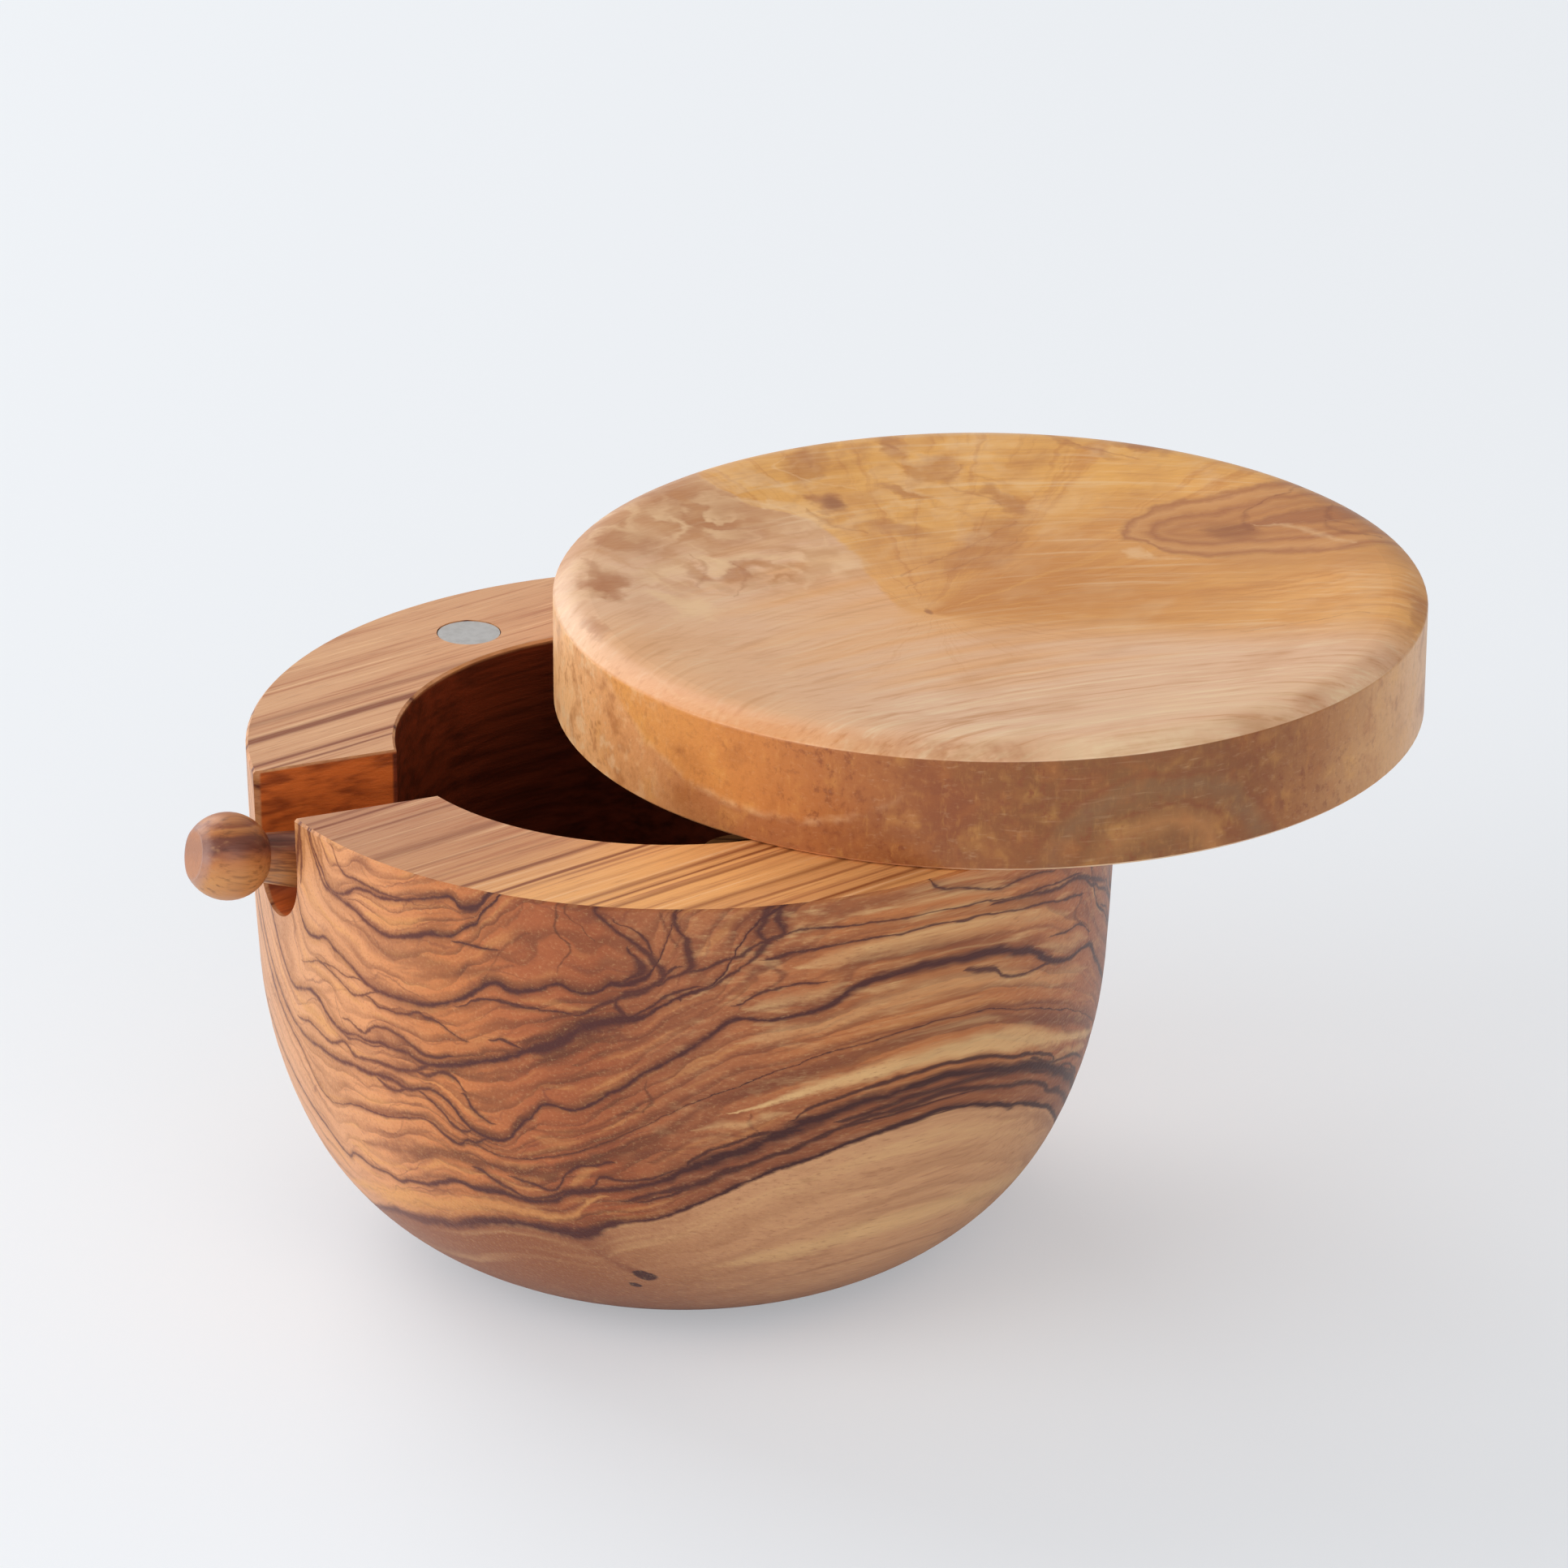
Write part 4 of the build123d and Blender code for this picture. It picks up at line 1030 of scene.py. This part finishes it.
    # The eye, of nested brown arcs that open to the back, the drawn lines and two knots.
    edges, drawing = Sheet(wood, wy, ALONG, wx, ALONG), Sheet(wood, wx, ALONG, wy, ALONG)
    from_left, to_right = [wx - edges.path(line) for line in (EYE_LEFT, EYE_RIGHT)]
    depth = from_left.at_most(0 - to_right).at_most((y - 23) * 1.2) + rag_x * 0.25
    rings = wood.ramp(depth * 0.075 + wave_y * 0.08 + warp_m * 0.05, EYE_RINGS)
    warm = between(to_right, -2.0, 6.0, 7.0) * y.fade(24, 36)
    knots = patch(wx, wy, (1.4, -8.6), (1.3, 0.6), -25).at_least(
        patch(wx, wy, (-34.6, -6.4), (2.4, 2.2), 0))
    ground = wood.layers(
        ground,
        (warm * 0.7, c.lid_warm),
        ((depth * 0.8 + 0.5).held() * 0.9, rings),
        (patch(wx, wy, (-6.4, 36.4), (5.0, 3.2), 40) * 0.55, c.lid_dark),
        (drawing.draw(LID_BROWN, 1.0 + rag_m) * 0.4, c.lid_brown),
        (drawing.draw(LID_PALE, 1.0 + rag_m) * 0.35, c.lid_light),
        (drawing.draw(LID_DARK, 1.0 + rag_m) * 0.45, c.lid_dark),
        (knots * 0.6, c.lid_dark),
    )

    # Crest: brown at the back right, cream and speckled brown further round, orange in front.
    crest = radius.fade(49.8, 52.6)
    speckled = (0.45 + 0.6 * rag_m + 0.6 * wave_m).held()
    fibre = wood.noise(wood.vector(x - y * 0.14, y * 0.07, height), 0.5, 2.0, 0.65)
    ground = wood.layers(
        ground,
        (crest * between(turned, 8, 62, 14) * (0.12 + 0.9 * wave_m), c.lid_brown),
        (crest * between(turned, -19, 7, 10) * (0.5 + 0.5 * rag_m), c.lid_cream),
        (crest * between(turned, -42, -16, 8) * speckled * 0.7, c.lid_brown),
        (radius.fade(50, 53) * between(turned, -82, -42, 20) * 0.45, c.lid_orange),
        (flank, lid_side(wood, turned, height, wave, rag)),
        (fibre.fade(0.05, 0.7) * 0.2, c.lid_brown),
        (fibre.fade(-0.1, -0.7) * 0.18, c.lid_light),
    )
    return wood.done(wood.principled(
        Base_Color=ground, Roughness=0.4 + fibre * 0.06, Normal=wood.bump(fibre, 0.00002),
        **OILED))


# ---- Wood of the spoon, and the metals ---------------------------------------------------

# The knob's middle, from the tip and the top of the spoon, and its size.
KNOB_IN, KNOB_DOWN, KNOB_ACROSS, KNOB_SLOPE = 4.95, 5.4, 10.8, math.radians(12)
KNOB_LAYERS = [(0, "c08048"), (.25, "c88a50"), (.45, "bc7642"), (.53, "94563a"), (.58, "703c2c"),
               (.7, "78422f"), (.76, "ae6838"), (.82, "c07c46"), (.86, "945232"), (.92, "c27e4a"),
               (1, "b26c3e")]


def spoon_wood():
    """Darker olive wood with stripes along the handle, worn pale round the flat of the knob."""
    wood, c = Finish("oiled_olive_spoon"), colours()
    low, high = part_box("spoon")
    x, y, z = wood.axes(wood.place())
    y, z = y - (low.y * MM + KNOB_IN), z - (high.z * MM - KNOB_DOWN)
    up = y * math.sin(KNOB_SLOPE) + z * math.cos(KNOB_SLOPE)
    out = z * math.sin(KNOB_SLOPE) - y * math.cos(KNOB_SLOPE)
    round_ = (x * x + up * up).root()
    rag = wood.noise(wood.vector(x, up, out * 0.3), 1.6, 2.0)
    layer = up * 0.93 - x * 0.36 + rag * 0.7 + out * 0.12
    stripes = wood.noise(wood.vector(x, up, out * 0.04), 0.9, 3.0, 0.65)
    fibre = wood.noise(wood.vector(x, up, out * 0.08), 0.35, 2.0, 0.7)
    shaft = out.fade(-3.5, -5.5)
    worn = out.fade(3.2, 4.2) * round_.fade(2.6, 3.1)
    ground = wood.layers(
        wood.ramp(layer / KNOB_ACROSS + 0.5, KNOB_LAYERS),
        (stripes.fade(0.0, 0.45) * 0.6, c.spoon_dark),
        (stripes.fade(-0.05, -0.5) * 0.5, c.spoon),
        (shaft * stripes.fade(-0.1, 0.25) * 0.5, c.spoon_dark),
        (shaft * stripes.fade(-0.1, -0.4) * 0.5, c.spoon_grey),
        (out.fade(4.1, 4.3) * round_.fade(3.1, 2.9) * 0.8, c.spoon_flat),
        (worn * (0.55 + 0.5 * rag), c.spoon_worn),
        (fibre.fade(0.1, 0.7) * 0.3, c.spoon_dark),
    )
    return wood.done(wood.principled(
        Base_Color=ground, Roughness=0.42 + fibre * 0.06, Normal=wood.bump(fibre, 0.00003),
        **HANDLED))


def plating():
    """Dull, cloudy nickel of the magnets, with fine scratches."""
    metal, c = Finish("dull_nickel"), colours()
    place = metal.place()
    cloud = metal.noise(place, 1.2, 3.0, 0.6)
    brushed = metal.vector(metal.dot(place, (0.12, 1.2, 0)), metal.dot(place, (2.4, -0.2, 0)), 0.0)
    scratch = metal.noise(brushed, 0.5, 2.0)
    return metal.done(metal.principled(
        Base_Color=metal.mix(cloud.fade(-0.3, 0.5) * 0.35, c.nickel, c.nickel_dark), Metallic=1.0,
        Roughness=0.42 + cloud * 0.06 + scratch * 0.05, Normal=metal.bump(scratch, 0.000005)))


def pin_steel():
    """Bright steel of the pivot pin, drawn along its length."""
    metal, c = Finish("drawn_steel"), colours()
    x, y, z = metal.axes(metal.place())
    draw = metal.noise(metal.vector(x, y, z * 0.05), 0.2, 1.0)
    return metal.done(metal.principled(
        Base_Color=c.steel, Metallic=1.0, Roughness=0.3 + draw * 0.05))


# ---- Pieces ------------------------------------------------------------------------------


def dress(node, material):
    """Gives a CAD node its finish."""
    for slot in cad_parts[node].material_slots:
        slot.material = material


class SALTBOX_OT_bowl(bpy.types.Operator):
    """Finishes the bowl"""
    bl_idname = "saltbox.bowl"
    bl_label = "Bowl"

    def execute(self, context):
        dress("bowl", bowl_wood())
        return {"FINISHED"}


class SALTBOX_OT_lid(bpy.types.Operator):
    """Finishes the lid"""
    bl_idname = "saltbox.lid"
    bl_label = "Lid"

    def execute(self, context):
        dress("lid", lid_wood())
        return {"FINISHED"}


class SALTBOX_OT_spoon(bpy.types.Operator):
    """Finishes the spoon"""
    bl_idname = "saltbox.spoon"
    bl_label = "Spoon"

    def execute(self, context):
        dress("spoon", spoon_wood())
        return {"FINISHED"}


class SALTBOX_OT_metal(bpy.types.Operator):
    """Finishes the magnets and the pin"""
    bl_idname = "saltbox.metal"
    bl_label = "Magnets and pin"

    def execute(self, context):
        nickel = plating()
        dress("rim_magnet", nickel)
        dress("lid_magnet", nickel)
        dress("pivot_pin", pin_steel())
        return {"FINISHED"}


# ---- Studio ------------------------------------------------------------------------------

CAMERA_PLACE = (0.77351, -0.30938, 0.42017)
CAMERA_AIM = (-0.01509, 0.01991, 0.04982)
CAMERA_ROLL = math.radians(0.197)
CAMERA_LENS = 167.86
CAMERA_SENSOR = 36.0
LAMP_AIM = (0, 0.02, 0.05)
LAMPS = [  # name, place, size, share of the key light's power
    ("window", (-2.20, -0.60, 1.50), 2.0, 4.0),
    ("left_fill", (0.10, -1.25, 0.55), 1.1, 0.95),
    ("front_fill", (1.20, -0.10, 0.60), 1.0, 0.42),
]
FLOOR_SIZE = 16.0
FLOOR_LIFT = 0.38  # how much of the floor, as the camera sees it, is the plain backdrop tone
SKY_SEEN = 0.9     # strength of the sky where the camera sees it


def aimed(place, aim, roll=0.0):
    """Matrix of a camera or lamp at place that looks at aim."""
    view = (Vector(aim) - Vector(place)).to_track_quat("-Z", "Y").to_matrix().to_4x4()
    return Matrix.Translation(place) @ view @ Matrix.Rotation(roll, 4, "Z")


def hold(name, data, matrix):
    """An object that puts a camera or lamp in the scene."""
    holder = bpy.data.objects.new(name, data)
    bpy.context.scene.collection.objects.link(holder)
    holder.matrix_world = matrix
    return holder


def floor_finish():
    """Pale floor that keeps the shadow, lifted a little where the camera sees it."""
    floor, c = Finish("pale_floor"), colours()
    matt = floor.principled(Base_Color=c.floor, Roughness=0.7, Specular_IOR_Level=0.1)
    seen = floor.add("ShaderNodeLightPath", output="Is Camera Ray")
    glow = floor.add("ShaderNodeEmission", None, {"Color": c.backdrop})
    return floor.done(floor.add("ShaderNodeMixShader", None,
                                {0: seen * FLOOR_LIFT, 1: matt, 2: glow}))


class SALTBOX_OT_stage(bpy.types.Operator):
    """Adds the floor, the lamps, the sky and the camera"""
    bl_idname = "saltbox.stage"
    bl_label = "Stage"

    def execute(self, context):
        scene, studio = context.scene, context.scene.salt_studio
        bpy.ops.object.select_all(action="DESELECT")
        bpy.ops.mesh.primitive_plane_add(size=FLOOR_SIZE, location=(0, 0, 0))
        floor = context.active_object
        floor.name = "floor"
        floor.data.materials.append(floor_finish())

        view = bpy.data.cameras.new("camera")
        view.lens, view.sensor_width = CAMERA_LENS, CAMERA_SENSOR
        scene.camera = hold("camera", view, aimed(CAMERA_PLACE, CAMERA_AIM, CAMERA_ROLL))
        for name, place, size, portion in LAMPS:
            lamp = bpy.data.lights.new(name, "AREA")
            lamp.shape, lamp.size, lamp.energy = "SQUARE", size, studio.key * portion
            hold(name, lamp, aimed(place, LAMP_AIM))

        scene.world = bpy.data.worlds.new("studio")
        sky = Nodes(scene.world)
        seen = sky.add("ShaderNodeLightPath", output="Is Camera Ray")
        strength = sky.add("ShaderNodeMix", None, {0: seen, 2: studio.sky, 3: SKY_SEEN})
        even = sky.add("ShaderNodeBackground", None,
                       {"Color": (1, 1, 1, 1), "Strength": strength})
        sky.add("ShaderNodeOutputWorld", None, {"Surface": even})
        scene.view_settings.view_transform = "Standard"
        return {"FINISHED"}


class SALTBOX_PT_sidebar(bpy.types.Panel):
    """Salt box settings and pieces"""
    bl_label = "Salt Box"
    bl_idname = "SALTBOX_PT_sidebar"
    bl_space_type = "VIEW_3D"
    bl_region_type = "UI"
    bl_category = "Salt Box"

    def draw(self, context):
        for name in SETTINGS:
            group = getattr(context.scene, name)
            box = self.layout.box()
            for prop in group.bl_rna.properties:
                if prop.identifier not in ("rna_type", "name"):
                    box.prop(group, prop.identifier)
        for operator in OPERATORS:
            self.layout.operator(operator.bl_idname)


OPERATORS = [SALTBOX_OT_bowl, SALTBOX_OT_lid, SALTBOX_OT_spoon, SALTBOX_OT_metal, SALTBOX_OT_stage]
CLASSES = [*SETTINGS.values(), *OPERATORS, SALTBOX_PT_sidebar]


def register():
    for kind in CLASSES:
        bpy.utils.register_class(kind)
    for name, kind in SETTINGS.items():
        setattr(bpy.types.Scene, name, PointerProperty(type=kind))


def unregister():
    for name in SETTINGS:
        delattr(bpy.types.Scene, name)
    for kind in reversed(CLASSES):
        bpy.utils.unregister_class(kind)


def main():
    register()
    for operator in OPERATORS:
        group, name = operator.bl_idname.split(".")
        getattr(getattr(bpy.ops, group), name)()


if __name__ == "__main__":
    main()
